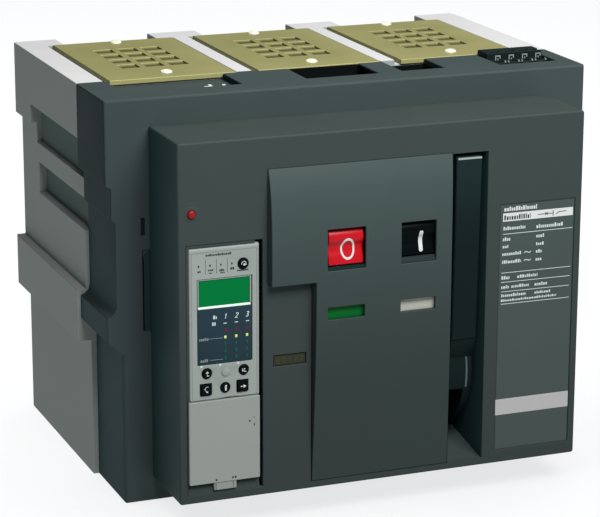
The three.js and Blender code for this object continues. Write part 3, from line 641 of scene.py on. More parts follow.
    # corner points, shared across edges that don't round
    cid = {}
    pos = []
    nor = []
    for li, (k, ring) in enumerate(loops):
        n = len(ring)
        for i in range(n):
            p, _, _ = corner(k, ring[i - 1], ring[i], ring[(i + 1) % n])
            cid[(ring[i], ring[(i + 1) % n])] = len(pos)
            pos.append(p)
            nor.append(rn[k])
    prev = {}
    for li, (k, ring) in enumerate(loops):
        for i in range(len(ring)):
            prev[(ring[i], ring[(i + 1) % len(ring)])] = (ring[i - 1], ring[i])
    up = list(range(len(pos)))
    un = list(range(len(pos)))

    def find(t, x):
        while t[x] != x:
            t[x] = t[t[x]]
            x = t[x]
        return x
    # corner at v, between prev (u->v) and h (v->w); across h is the corner whose incoming edge is (w->v)
    incoming = {}
    for h, pr in prev.items():
        incoming[pr] = h
    for h in cid:
        v, w = h
        other = incoming.get((w, v))
        if other is None:
            continue
        if step[K(v, w)] <= 1e-9:
            up[find(up, cid[h])] = find(up, cid[other])
        if K(v, w) in soft:
            un[find(un, cid[h])] = find(un, cid[other])
    gp, gn = {}, {}
    for i in range(len(pos)):
        gp.setdefault(find(up, i), []).append(i)
        gn.setdefault(find(un, i), []).append(i)
    P, Nn = {}, {}
    for g, m in gp.items():
        P[g] = sum((pos[i] for i in m), Vector()) / len(m)
    for g, m in gn.items():
        Nn[g] = sum((nor[i] for i in m), Vector()).normalized()
    out_v = []
    vid = {}

    def V(c):
        g = find(up, c)
        if g not in vid:
            vid[g] = len(out_v)
            out_v.append(P[g])
        return vid[g]

    def NRM(c):
        return Nn[find(un, c)]
    faces, fn = [], []

    def put(vs, ns):
        keep_v, keep_n = [], []
        for i, v in enumerate(vs):
            if v != vs[i - 1] or len(vs) == 1:
                keep_v.append(v)
                keep_n.append(ns[i])
        if len(keep_v) >= 3 and len(set(keep_v)) == len(keep_v):
            faces.append(keep_v)
            fn.append(keep_n)
    # flats
    rloops = {}
    for li, (k, ring) in enumerate(loops):
        rloops.setdefault(k, []).append([cid[(ring[i], ring[(i + 1) % len(ring)])] for i in range(len(ring))])
    for k, ls in rloops.items():
        rings = []
        for l in ls:
            q = []
            for c in l:
                if not q or V(q[-1]) != V(c):
                    q.append(c)
            while len(q) > 1 and V(q[0]) == V(q[-1]):
                q.pop()
            if len(q) >= 3:
                rings.append(q)
        if not rings:
            continue
        if len(rings) == 1 and len(rings[0]) <= 4:
            put([V(c) for c in rings[0]], [NRM(c) for c in rings[0]])
            continue
        ax = max(range(3), key=lambda i: abs(rn[k][i]))
        uvs = [[(Vector((out_v[V(c)][(ax + 1) % 3], out_v[V(c)][(ax + 2) % 3])) * 1000) for c in q] for q in rings]
        flatv = [c for q in rings for c in q]
        pts = [p for q in uvs for p in q]
        edges = []
        base = 0
        for q in uvs:
            edges += [(base + i, base + (i + 1) % len(q)) for i in range(len(q))]
            base += len(q)
        cd = mathutils.geometry.delaunay_2d_cdt(pts, edges, [], 0, 1e-5, True)
        ov, oe, of_, orig = cd[0], cd[1], cd[2], cd[3]
        src_id = [o[0] if o else None for o in orig]
        # keep triangles inside the outline by crossing count
        segs = [(pts[a], pts[b]) for a, b in edges]

        def inside(p):
            x, y = p
            c = False
            for a, b in segs:
                if (a.y > y) != (b.y > y):
                    if x < (b.x - a.x) * (y - a.y) / (b.y - a.y) + a.x:
                        c = not c
            return c
        for tri in of_:
            if any(src_id[i] is None for i in tri):
                continue
            cx = sum(ov[i].x for i in tri) / 3.0
            cy = sum(ov[i].y for i in tri) / 3.0
            if not inside((cx, cy)):
                continue
            ids = [flatv[src_id[i]] for i in tri]
            a, b, c = (out_v[V(i)] for i in ids)
            if (b - a).cross(c - a).dot(rn[k]) < 0:
                ids.reverse()
            put([V(i) for i in ids], [NRM(i) for i in ids])
    # strips over the sharp edges
    arcs = {}

    def arc(c1, c2, a, b):
        """Vertices from corner c1 to corner c2 round the edge a-b."""
        v1, v2 = V(c1), V(c2)
        n1, n2 = NRM(c1), NRM(c2)
        if v1 == v2:
            return [(v1, n1), (v2, n2)] if False else [(v1, (n1 + n2).normalized() if (n1 + n2).length > 1e-6 else n1)]
        key = (v1, v2)
        if key in arcs:
            return arcs[key]
        if (v2, v1) in arcs:
            return arcs[(v2, v1)][::-1]
        p1, p2 = out_v[v1], out_v[v2]
        d = (co[b] - co[a]).normalized()
        m = (p1 + p2) / 2
        ctl = co[a] + d * (m - co[a]).dot(d)
        w = max(0.2, math.cos(n1.angle(n2, 0.0) / 2))
        res = [(v1, n1)]
        for i in range(1, seg):
            t = i / seg
            b0, b1, b2 = (1 - t) ** 2, 2 * t * (1 - t) * w, t * t
            p = (p1 * b0 + ctl * b1 + p2 * b2) / (b0 + b1 + b2)
            nn = (n1 * (1 - t) + n2 * t)
            nn = nn.normalized() if nn.length > 1e-6 else n1
            out_v.append(p)
            res.append((len(out_v) - 1, nn))
        res.append((v2, n2))
        arcs[key] = res
        return res
    done = set()
    for h in cid:
        a, b = h
        if step[K(a, b)] <= 1e-9 or K(a, b) in done:
            continue
        done.add(K(a, b))
        c_a1 = cid[h]                                  # this region at a
        k1 = edge_reg[h]
        ring = loops[k1[1]][1]
        c_b1 = cid[(b, ring[(ring.index(b) + 1) % len(ring)])] if ring.count(b) == 1 else cid[incoming[(a, b)]]
        c_b1 = cid[incoming[(a, b)]]
        c_b2 = cid[(b, a)]
        c_a2 = cid[incoming[(b, a)]]
        A = arc(c_a1, c_a2, a, b)
        B = arc(c_b1, c_b2, a, b)
        n = max(len(A), len(B))
        if len(A) < n:
            A = A * n if len(A) == 1 else A
        if len(B) < n:
            B = B * n if len(B) == 1 else B
        if len(A) != len(B):
            continue
        for i in range(len(A) - 1):
            q = [A[i], A[i + 1], B[i + 1], B[i]]
            put([x[0] for x in q], [x[1] for x in q])
    # corner patches
    seen_c = set()
    for h in cid:
        if h in seen_c:
            continue
        cyc = []
        k = h
        while k not in seen_c:
            seen_c.add(k)
            cyc.append(k)
            k = incoming.get((k[1], k[0]))
            if k is None:
                break
        if k is None:
            continue
        border = []
        for j, c in enumerate(cyc):
            d = cyc[(j + 1) % len(cyc)]
            A = arc(cid[c], cid[d], c[0], c[1])
            border += A[:-1] if len(A) > 1 else []
        clean = []
        for v, n in border:
            if not clean or clean[-1][0] != v:
                clean.append((v, n))
        while len(clean) > 1 and clean[0][0] == clean[-1][0]:
            clean.pop()
        ids = [v for v, _ in clean]
        if len(ids) < 3:
            continue
        if len(set(ids)) < len(ids):
            # an arc runs out and back over itself: nothing to close
            cnt = {}
            for i in range(len(ids)):
                e = (ids[i], ids[(i + 1) % len(ids)])
                cnt[e] = cnt.get(e, 0) + 1
            keep = [e for e in cnt if (e[1], e[0]) not in cnt]
            if len(keep) < 3:
                continue
            succ = {a: b for a, b in keep}
            st = keep[0][0]
            ring = [st]
            x = succ[st]
            while x != st and x in succ and len(ring) < 100:
                ring.append(x)
                x = succ[x]
            nd = dict(clean)
            clean = [(v, nd[v]) for v in ring]
            ids = ring
        v0 = co[h[0]]
        avg = sum((out_v[v] for v in ids), Vector()) / len(ids)
        nav = sum((n for _, n in clean), Vector())
        nav = nav.normalized() if nav.length > 1e-6 else clean[0][1]
        if len(ids) == 3 or seg == 1:
            order = ids[::-1]
            put(order, [dict(clean)[v] for v in order])
        else:
            mid = avg + (v0 - avg) * 0.22
            out_v.append(mid)
            c = len(out_v) - 1
            for i in range(len(clean)):
                a, b = clean[i], clean[(i + 1) % len(clean)]
                put([b[0], a[0], c], [b[1], a[1], nav])
    me = bpy.data.meshes.new(name or node + "_shell")
    # winding: the strips and patches follow the flats
    me.from_pydata([tuple(v) for v in out_v], [], faces)
    me.update()
    fixed = bmesh.new()
    fixed.from_mesh(me)
    lay = fixed.faces.layers.int.new("src")
    for i, f in enumerate(fixed.faces):
        f[lay] = i
    bmesh.ops.recalc_face_normals(fixed, faces=fixed.faces[:])
    open_e = sum(1 for e in fixed.edges if len(e.link_faces) != 2)
    fixed.to_mesh(me)
    fixed.free()
    tag = [a.value for a in me.attributes["src"].data]
    want = [dict(zip(faces[i], fn[i])) for i in range(len(faces))]
    ln = [None] * len(me.loops)
    for p in me.polygons:
        p.use_smooth = True
        w = want[tag[p.index]]
        for li in p.loop_indices:
            ln[li] = w[me.loops[li].vertex_index]
    me.attributes.remove(me.attributes["src"])
    me.normals_split_custom_set([tuple(n) for n in ln])
    me.materials.append(mat or CAD_MATS[node])
    o = bpy.data.objects.new(name or node + "_shell", me)
    bpy.context.scene.collection.objects.link(o)
    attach(o, body_of(node))
    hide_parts(node)
    if stats:
        print("ROUNDED", node, "faces", len(me.polygons), "open edges", open_e)
    return o


for n, m in CAD_MATS.items():
    paint(NODES[n], m)


# ------------------------------------------------------------------ camera, light, floor

def camera():
    yaw, pitch, roll = math.radians(21.43677), math.radians(15.55396), math.radians(0.17326)
    fwd = Vector((math.sin(yaw) * math.cos(pitch), math.cos(yaw) * math.cos(pitch), -math.sin(pitch)))
    right = Vector((math.cos(yaw), -math.sin(yaw), 0.0))
    up = right.cross(fwd)
    r2 = right * math.cos(roll) + up * math.sin(roll)
    u2 = up * math.cos(roll) - right * math.sin(roll)
    cam = bpy.data.cameras.new("camera")
    cam.sensor_fit = "HORIZONTAL"
    cam.sensor_width = 36.0
    cam.lens = 2474.128 / 600.0 * 36.0
    cam.shift_x = (300.0 - 298.881) / 600.0
    cam.shift_y = (256.877 - 258.5) / 600.0
    cam.clip_start = 0.05
    cam.clip_end = 100.0
    o = bpy.data.objects.new("camera", cam)
    m = Matrix((r2, u2, -fwd)).transposed().to_4x4()
    m.translation = Vector((-0.678444, -1.712625, 0.658656))
    o.matrix_world = m
    bpy.context.scene.collection.objects.link(o)
    bpy.context.scene.camera = o


def area(name, loc, target, size, power, colour=(1, 1, 1)):
    l = bpy.data.lights.new(name, "AREA")
    l.shape = "RECTANGLE"
    l.size, l.size_y = size
    l.energy = power
    l.color = colour
    o = bpy.data.objects.new(name, l)
    o.location = loc
    d = (Vector(target) - Vector(loc)).normalized()
    o.rotation_euler = d.to_track_quat("-Z", "Y").to_euler()
    bpy.context.scene.collection.objects.link(o)
    return o


def studio():
    sc = bpy.context.scene
    w = bpy.data.worlds.new("studio")
    sc.world = w
    w.use_nodes = True
    bg = w.node_tree.nodes["Background"]
    bg.inputs["Color"].default_value = (0.96, 0.98, 1.0, 1.0)
    bg.inputs["Strength"].default_value = 0.07
    key = area("key_light", (0.22, -0.90, 1.10), (0.02, -0.12, 0.22), (0.6, 0.6), 20.0, (1.0, 0.99, 0.97))
    front = area("front_fill", (-0.16, -1.05, 1.05), (-0.05, -0.1, 0.16), (0.5, 0.5), 13.0, (0.96, 1.0, 1.0))
    top = area("top_light", (0.75, 0.25, 2.0), (0.05, 0.05, 0.2), (1.0, 1.4), 30.0, (1.0, 1.0, 1.0))
    wash = area("floor_wash", (0.0, 0.3, 4.5), (0.0, 0.3, 0.0), (9.0, 9.0), 738.0, (1.0, 1.0, 1.0))
    bpy.ops.mesh.primitive_plane_add(size=14.0, location=(0, 0, -0.0005))
    floor = bpy.context.object
    floor.name = "floor"
    m = bpy.data.materials.new("floor_paper")
    m.use_nodes = True
    b = m.node_tree.nodes["Principled BSDF"]
    b.inputs["Base Color"].default_value = (0.62, 0.625, 0.63, 1.0)
    b.inputs["Roughness"].default_value = 0.9
    b.inputs["Specular IOR Level"].default_value = 0.1
    floor.data.materials.append(m)
    floor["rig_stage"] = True
    sc.view_settings.view_transform = "Standard"
    sc.view_settings.look = "None"
    sc.view_settings.exposure = 0.0
    sc.view_settings.gamma = 1.0
    return (key, front, top), wash, floor


def link_lights(lamps, wash, floor):
    """The lamps light the object and not the paper; the wash keeps the paper evenly pale."""
    lit = bpy.data.collections.new("lit_by_key")
    paper = bpy.data.collections.new("paper_only")
    paper.objects.link(floor)
    for o in bpy.context.scene.objects:
        if o.type in ("MESH", "CURVE") and not o.get("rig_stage"):
            lit.objects.link(o)
    for lamp in lamps:
        lamp.light_linking.receiver_collection = lit
    wash.light_linking.receiver_collection = paper
    wash.light_linking.blocker_collection = paper


camera()
LIGHTS = studio()


# ------------------------------------------------------------------ carried-over solids

def frame_radius(mid, along, n1, n2):
    # the moulded vertical corners of the frame are softer than its other edges
    if abs(along.z) > 0.9 and mid.y < -88 and abs(mid.x) > 175:
        return 4.0
    if abs(along.x) > 0.9 and mid.y < -88 and mid.z > 298:
        return 2.0
    return 1.0


def case_radius(mid, along, n1, n2):
    if abs(along.z) > 0.9 and abs(mid.x) > 180 and mid.y > 140:
        return 3.0
    if mid.z > 299 and (abs(mid.x) > 187 or mid.y > 147) and abs(along.z) < 0.5:
        return 2.0
    return 0.8


def fascia_radius(mid, along, n1, n2):
    if mid.y < -150 and (abs(mid.x) > 154 or mid.z > 279 or mid.z < 19) and abs(along.y) < 0.5:
        return 1.5
    if abs(along.y) > 0.9 and abs(mid.x) > 154 and (mid.z > 279 or mid.z < 19):
        return 1.8
    return 0.7


rounded("rear_case", 0.8, 3, radius=case_radius)
rounded("front_frame", 1.0, 3, radius=frame_radius)
rounded("front_fascia", 0.7, 3, radius=fascia_radius)
panel_shell = rounded("center_panel", 0.7, 3)
# the edge beside the handle slot leans in a little as the face swells outward
for v in panel_shell.data.vertices:
    if v.co.x > 50.0 * MM and v.co.y < -154.2 * MM:
        v.co.x -= 0.37 * (-154.2 * MM - v.co.y)
rounded("rating_plate", 0.3, 2)
rounded("charging_handle", 1.8, 4)
def trip_radius(mid, along, n1, n2):
    # a wider lip along the top, a soft one down the sides
    if mid.y < -154 and abs(along.x) > 0.9 and mid.z > 204:
        return 2.2
    if mid.y < -154 and abs(along.z) > 0.9 and abs(mid.x + 122.3) > 25:
        return 1.2
    return 0.5


rounded("trip_unit_body", 0.5, 4, radius=trip_radius)
rounded("trip_unit_cover", 0.8, 3)
rounded("aux_terminal_block", 0.5, 2)
rounded("operation_counter", 0.4, 2)
for p, _ in POLES:
    rounded(f"arc_chute_cover_{p}", 0.5, 3)
    rounded(f"line_terminal_{p}", 0.8, 3)
    rounded(f"load_terminal_{p}", 0.8, 3)
    rounded(f"current_transformer_{p}", 1.2, 3)
    rounded(f"moving_contact_{p}", 0.5, 2)
    rounded(f"drive_link_{p}", 0.6, 2)
    rounded(f"arc_chute_{p}", 0.3, 1)
for n in ("pole_shaft", "mechanism_frame", "cam_shaft", "spring_crosshead", "opening_latch_shaft", "closing_latch_shaft",
          "shunt_trip_coil", "closing_coil", "shunt_trip_plunger", "closing_coil_plunger"):
    rounded(n, 0.5, 2)


# ------------------------------------------------------------------ small solids for print, lamps and trims

def multi(name, solids, mat, body, r=0.0, seg=2, smooth=True):
    """Several closed solids as one mesh. Each is (outline, axis, a, b), as prism takes them."""
    bm = bmesh.new()
    for pts, axis, a, b in solids:
        def at(u, v, w):
            return {"x": (w, u, v), "y": (u, w, v), "z": (u, v, w)}[axis]
        lo = [bm.verts.new([c * MM for c in at(u, v, a)]) for u, v in pts]
        hi = [bm.verts.new([c * MM for c in at(u, v, b)]) for u, v in pts]
        n = len(pts)
        bm.faces.new(lo)
        bm.faces.new(hi)
        for i in range(n):
            bm.faces.new((lo[i], lo[(i + 1) % n], hi[(i + 1) % n], hi[i]))
    bmesh.ops.recalc_face_normals(bm, faces=bm.faces[:])
    bevelled(bm, r, seg)
    return obj_from_bm(name, bm, mat, body, smooth=smooth)


def rect(x0, x1, z0, z1):
    return [(x0, z0), (x1, z0), (x1, z1), (x0, z1)]


def stroke(points, w):
    """Outline of a line w wide drawn through the points, with mitred turns."""
    left, right = [], []
    n = len(points)
    for i, (x, z) in enumerate(points):
        d1 = Vector((x - points[i - 1][0], z - points[i - 1][1])).normalized() if i > 0 else None
        d2 = Vector((points[i + 1][0] - x, points[i + 1][1] - z)).normalized() if i < n - 1 else None
        d1 = d1 or d2
        d2 = d2 or d1
        t = (d1 + d2).normalized()
        nn = Vector((-t.y, t.x))
        k = w / 2 / max(0.5, nn.dot(Vector((-d1.y, d1.x))))
        left.append((x + nn.x * k, z + nn.y * k))
        right.append((x - nn.x * k, z - nn.y * k))
    return left + right[::-1]


def blocks(x0, x1, z, h, seed, gap=0.5):
    """Small blocks of uneven height in a row: stands for a printed line without spelling anything."""
    out, x, k = [], x0, seed * 7919 + 17
    while x < x1 - 0.3:
        k = (k * 1103515245 + 12345) & 0x7fffffff
        w = 0.75 + 0.8 * ((k >> 8) % 100) / 100.0
        t = h if (k >> 16) % 3 == 0 else h * 0.74
        out.append(rect(x, min(x + w, x1), z - h / 2, z - h / 2 + t))
        x += w + gap
    return out


def on_y(outlines, y_face, proud=0.12, sink=0.08):
    """Outlines as thin raised marks on a face that looks towards -y."""
    return [(o, "y", y_face - proud, y_face + sink) for o in outlines]


DIGITS = {
    "0": [[(-0.5, -1), (0.5, -1), (0.5, 1), (-0.5, 1), (-0.5, -1)]],
    "1": [[(-0.35, 0.6), (0.1, 1), (0.1, -1)]],
    "2": [[(-0.5, 0.7), (-0.1, 1), (0.4, 0.85), (0.45, 0.3), (-0.5, -1), (0.5, -1)]],
    "3": [[(-0.45, 0.9), (0.3, 1), (0.4, 0.4), (-0.1, 0.05), (0.45, -0.3), (0.3, -0.95), (-0.5, -0.9)]],
    "4": [[(0.3, -1), (0.3, 1), (-0.5, -0.3), (0.6, -0.3)]],
    "7": [[(-0.5, 1), (0.5, 1), (-0.1, -1)]],
}


def digit(ch, cx, cz, h, w, lean=0.0):
    return [stroke([(cx + (px + lean * pz) * h / 2, cz + pz * h / 2) for px, pz in s], w) for s in DIGITS[ch]]


# ------------------------------------------------------------------ arc chute covers: vents and screws

for p, cx in POLES:
    tiles, slats = [], []
    for vx in (-19, 0, 19):
        for vy in (22, 42.6, 63.3, 84):
            tiles.append((rect(cx + vx - 6.85, cx + vx + 6.85, vy - 6.85, vy + 6.85), "z", 298.9, 299.45))
            for k in range(5):
                yy = vy - 5.6 + k * 2.8
                slats.append((rect(cx + vx - 6.6, cx + vx + 6.6, yy - 0.55, yy + 0.55), "z", 299.3, 299.75))
    multi(f"vent_floor_{p}", tiles, M_VENT, ROOT)
    multi(f"vent_slats_{p}", slats, M_VENT2, ROOT, r=0.12, seg=1)
    for where, sy in (("front", -9.0), ("rear", 116.0)):
        nm = f"cover_screw_{where}_{p}"
        head = [(0, 303.0), (1.2, 302.97), (2.4, 302.8), (3.4, 302.45), (4.1, 302.0), (4.5, 301.55), (4.6, 301.15), (4.6, 300.95), (2.0, 300.95), (2.0, 288.0), (1.4, 286.5), (0, 286.5)]
        o = lathe(nm + "_dome", head, "z", cx, sy, M_SCREW, body_of(nm), 48)
        cutter = bmesh.new()
        prism_bm([(cx - 5.2, sy - 0.5), (cx + 5.2, sy - 0.5), (cx + 5.2, sy + 0.5), (cx - 5.2, sy + 0.5)], "z", 302.3, 304.0, cutter)
        cm = bpy.data.meshes.new("slot_cut")
        cutter.to_mesh(cm)
        cutter.free()
        co_ = bpy.data.objects.new("slot_cut", cm)
        bpy.context.scene.collection.objects.link(co_)
        mod = o.modifiers.new("slot", "BOOLEAN")
        mod.operation = "DIFFERENCE"
        mod.solver = "EXACT"
        mod.object = co_
        dg = bpy.context.evaluated_depsgraph_get()
        me2 = bpy.data.meshes.new_from_object(o.evaluated_get(dg))
        o.modifiers.clear()
        o.data = me2
        bpy.data.objects.remove(co_)
        for poly in me2.polygons:
            poly.use_smooth = True
        me2.set_sharp_from_angle(angle=math.radians(38))
        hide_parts(nm)

# ------------------------------------------------------------------ side pockets of the case, their floors painted in shade

for k, tag in ((-1, "left"), (1, "right")):
    def xs(a, b):
        return (-b, -a) if k < 0 else (a, b)
    a0, b0 = xs(179.45, 179.8)
    a1, b1 = xs(177.45, 177.8)
    multi(f"case_pocket_shade_{tag}", [([(-23.0, 230.4), (103.6, 230.4), (103.6, 259.6), (-23.0, 259.6)], "x", a0, b0),
                                       ([(-23.0, 190.9), (99.6, 190.9), (99.6, 214.1), (-23.0, 214.1)], "x", a1, b1)], M_POCKET_SHADE, ROOT)

# ------------------------------------------------------------------ top openings of the frame

NOTCH = [("b", -25.8, 30.8, -65.8, -24.6), ("c", 50.2, 84.8, -63.8, -24.6)]
# dark sheets lining each opening paint the shade inside it
for tag, x0, x1, y0, y1 in NOTCH:
    top = 300.2 if tag == "b" else 296.6
    s = [
        (rect(x0, x1, y0, y1), "z", 281.0, 282.0),
        (rect(x0, x1, y0, y0 + 0.5), "z", 282.1, 299.6),
        (rect(x0, x0 + 0.5, y0 + 0.7, y1 - 1.6), "z", 282.1, 296.6 if tag == "c" else 299.6),
        (rect(x1 - 0.5, x1, y0 + 0.7, y1 - 1.6), "z", 282.1, 296.6 if tag == "c" else 299.6),
        (rect(x0, x1, -27.6, -26.7), "z", 282.1, top),
    ]
    multi(f"frame_opening_shade_{tag}", s, M_BORE, ROOT)
# lugs of the connector block seen in the middle opening
multi("opening_lugs_b", [(rect(x, x + 3.2, -60.0, -57.4), "z", 282.0, 289.0 + 1.5 * (i % 2)) for i, x in enumerate((-20.0, -11.0, -2.0, 7.0, 16.0, 24.0))],
      M_TERM, ROOT, r=0.3, seg=2)
# two white clips in the deep end of the tray
for i, (x, y) in enumerate(((-97.5, -53.0), (-87.6, -55.4))):
    multi(f"tray_clip_{i + 1}", [
        (rect(x - 3.4, x + 3.4, y - 0.9, y + 0.9), "z", 296.1, 297.6),
        (rect(x + 0.4, x + 3.0, y + 1.1, y + 3.2), "z", 296.1, 298.2)], M_PRINT, ROOT, r=0.3, seg=2)

# white bracket pins of the auxiliary terminals
pins = []
for i in range(4):
    x = 136.0 + i * 11.3
    pins += [
        (rect(x, x + 0.8, -45.0, -44.5), "z", 299.0, 302.6), (rect(x + 1.0, x + 4.4, -45.0, -44.5), "z", 301.8, 302.6),
        (rect(x + 3.6, x + 4.4, -45.0, -44.5), "z", 300.2, 301.7), (rect(x + 2.0, x + 2.7, -45.0, -44.5), "z", 299.0, 300.4),
        (rect(x + 4.2, x + 5.2, -53.4, -51.9), "z", 298.4, 299.7), (rect(x + 7.0, x + 7.9, -53.4, -51.9), "z", 298.4, 299.7),
        (rect(x + 5.5, x + 6.6, -50.0, -49.2), "z", 298.4, 299.3),
    ]
multi("aux_terminal_pins", pins, M_PIN, ROOT)
# painted shade: dark sheets for the shade in the terminal wells
multi("aux_terminal_well_shade", [(rect(134.2 + i * 11.3, 143.4 + i * 11.3, -50.6, -46.0), "z", 298.2, 298.85) for i in range(4)], M_BORE, ROOT)

# ------------------------------------------------------------------ push buttons

def button_face(z0):
    """y of the finger face against z: a rounded lip above, a hollow under it, then a flat pad."""
    return [(-154.0, 211.5), (-155.9, 210.9), (-157.6, 209.6), (-158.8, 207.6), (-159.3, 205.2), (-159.2, 203.2), (-158.6, 201.4), (-157.7, 199.8),
            (-157.1, 198.2), (-157.0, 196.6), (-157.3, 194.8), (-157.9, 192.8), (-158.5, 190.6), (-158.9, 188.2), (-159.1, z0 + 1.2), (-158.8, z0 + 0.3), (-158.2, z0)]


def smooth_path(pts, k=4):
    out = []
    n = len(pts)
    for i in range(n - 1):
        p0, p1, p2, p3 = pts[max(0, i - 1)], pts[i], pts[i + 1], pts[min(n - 1, i + 2)]
        for j in range(k):
            t = j / k
            out.append(tuple(0.5 * ((2 * b) + (-a + c) * t + (2 * a - 5 * b + 4 * c - d) * t * t + (-a + 3 * b - 3 * c + d) * t ** 3)
                             for a, b, c, d in zip(p0, p1, p2, p3)))
    out.append(pts[-1])
    return out


def face_y(path, z):
    for (ya, za), (yb, zb) in zip(path, path[1:]):
        if za >= z >= zb:
            return ya + (yb - ya) * ((za - z) / (za - zb) if za != zb else 0.0)
    return path[-1][0]


def push_button(node, x0, x1, z0, mat, xs):
    path = smooth_path(button_face(z0))
    outline = path + [(-151.0, z0), (-151.0, 211.5)]
    bm = bmesh.new()
    prism_bm(outline, "x", x0, x1, bm)
    es = [e for e in bm.edges if abs(e.verts[0].co.x - e.verts[1].co.x) < 1e-9 and e.calc_face_angle(0) > 1.2 and (e.verts[0].co.y + e.verts[1].co.y) / 2 < -0.152]
    bmesh.ops.bevel(bm, geom=es, offset=0.45 * MM, segments=3, profile=0.5, affect="EDGES", clamp_overlap=True)
    o = obj_from_bm(node + "_cap", bm, mat, node)
    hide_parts(node)
    stem = lathe(node + "_stem", [(0, -150.9), (5.6, -150.9), (5.9, -150.6), (5.9, -140.4), (5.5, -140.0), (2.5, -140.0), (2.5, -109.1), (2.1, -108.7), (0, -108.7)], "y", xs, 197.0, mat, node, 40)
    return path


def on_face(name, rows, path, mat, body, proud=0.16, sink=0.5):
    """Closed band between two edges, laid on the button face. rows: pairs of (x, z) points, ring closed or open."""
    bm = bmesh.new()
    closed = rows[0] == rows[-1]
    rr = rows[:-1] if closed else rows
    vs = []
    for a, b in rr:
        ya, yb = face_y(path, a[1]), face_y(path, b[1])
        vs.append([bm.verts.new((a[0] * MM, (ya - proud) * MM, a[1] * MM)), bm.verts.new((b[0] * MM, (yb - proud) * MM, b[1] * MM)),
                   bm.verts.new((b[0] * MM, (yb + sink) * MM, b[1] * MM)), bm.verts.new((a[0] * MM, (ya + sink) * MM, a[1] * MM))])
    n = len(vs)
    for i in range(n if closed else n - 1):
        p, q = vs[i], vs[(i + 1) % n]
        for j in range(4):
            bm.faces.new((p[j], p[(j + 1) % 4], q[(j + 1) % 4], q[j]))
    if not closed:
        bm.faces.new(vs[0])
        bm.faces.new(vs[-1])
    bmesh.ops.recalc_face_normals(bm, faces=bm.faces[:])
    return obj_from_bm(name, bm, mat, body)


RED_PATH = push_button("off_button", -45.9, -19.4, 184.9, M_RED, -33.0)
BLK_PATH = push_button("on_button", 9.6, 35.4, 186.7, M_BLACK, 22.5)
ring = []
for i in range(65):
    a = 2 * math.pi * (i % 64) / 64
    c, s = math.cos(a), math.sin(a)
    ring.append(((-31.1 + 5.4 * c, 196.2 + 7.9 * s), (-31.1 + 4.05 * c, 196.2 + 6.2 * s)))
on_face("off_button_mark", ring, RED_PATH, M_PRINT, "off_button")
bar_rows = []
for i in range(41):
    z = 204.3 - 15.4 * i / 40
    e = min(204.3 - z, z - 188.9)
    hw = 1.5 if e > 1.3 else 1.5 * (0.55 + 0.45 * math.sin(math.pi / 2 * e / 1.3))
    bar_rows.append(((25.2 - hw, z), (25.2 + hw, z)))
on_face("on_button_mark", bar_rows, BLK_PATH, M_PRINT, "on_button", proud=0.2)
# sills under the two buttons, coloured darker than the panel as painted shade; the one under the red button darkest, in
# its shadow
prism("off_button_sill", [(-161.4, 182.1), (-161.4, 182.5), (-159.6, 184.2), (-158.6, 184.4), (-158.6, 182.1)], "x", -47.3, -18.7, M_SILL, ROOT, 0.15, 2)
prism("on_button_sill", [(-161.4, 182.1), (-161.4, 182.6), (-159.8, 185.4), (-158.4, 186.1), (-158.4, 182.1)], "x", 9.2, 35.8, M_SILL_HALF_SHADE, ROOT, 0.15, 2)

# ------------------------------------------------------------------ indicator drums

def drum(node, x0, x1, mat, mat2):
    """Drum with two flat fields: the coloured one in front, the other state's field above it."""
    r, flat = 13.4, 12.55
    outline = []
    for i in range(120):
        a = 2 * math.pi * i / 120
        rr = r
        for mid in (0.0, 60.0):
            off = math.radians(((math.degrees(a) - mid + 180.0) % 360.0) - 180.0)
            if abs(off) < math.acos(flat / r):
                rr = flat / math.cos(off)
        outline.append((-145.0 - rr * math.cos(a), 150.5 + rr * math.sin(a)))
    o = prism(node + "_drum", outline, "x", x0, x1, mat, node)
    o.data.set_sharp_from_angle(angle=math.radians(8))
    o.data.materials.append(mat2)
    for poly in o.data.polygons:
        y, z = poly.center.y / MM + 145.0, poly.center.z / MM - 150.5
        a = math.degrees(math.atan2(z, -y))
        if 30 < a < 100:
            poly.material_index = 1
    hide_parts(node)
    lathe(node + "_pivot", [(0, x0 - 3.4), (1.7, x0 - 3.4), (2.0, x0 - 3.1), (2.0, x1 + 3.1), (1.7, x1 + 3.4), (0, x1 + 3.4)], "x", -145.0, 150.5, M_STEEL, node, 24)


drum("contact_flag", -49.2, -16.8, M_GREEN, M_RED)
drum("spring_flag", 6.6, 37.8, M_WHITE, M_YEL2)

# ------------------------------------------------------------------ reset button and trip unit keys

o = lathe("trip_reset_cap", [(0, -155.9), (1.2, -155.85), (2.1, -155.65), (2.7, -155.2), (3.0, -154.5), (3.0, -150.1), (5.7, -150.1), (6.0, -149.8), (6.0, -148.2), (5.8, -148.0), (0, -148.0)],
          "y", -145.9, 230.5, M_RESET, "trip_reset_button", 48)
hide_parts("trip_reset_button")
obj_from_bm("trip_reset_bezel", lathe_bm([(3.25, -153.4), (3.25, -153.9), (3.4, -154.05), (5.4, -154.05), (5.8, -153.8), (4.6, -153.4), (3.25, -153.4)], "y", -145.9, 230.5, 48), M_FASCIA, ROOT)

KEY_AT = {}


def round_key(node, x, z, r):
    o = lathe(node + "_cap", [(0, -155.65), (r - 1.1, -155.68), (r - 0.45, -155.6), (r - 0.1, -155.3), (r, -154.9), (r, -149.0), (0, -149.0)], "y", x, z, M_KEY, node, 48)
    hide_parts(node)
    KEY_AT[node] = (x, z)


def square_key(node, x, z, h):
    bm = prism_bm(rect(x - h, x + h, z - h, z + h), "y", -155.7, -149.0)
    bevelled(bm, 0.5, 3)
    o = obj_from_bm(node + "_cap", bm, M_KEY, node)
    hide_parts(node)
    KEY_AT[node] = (x, z)


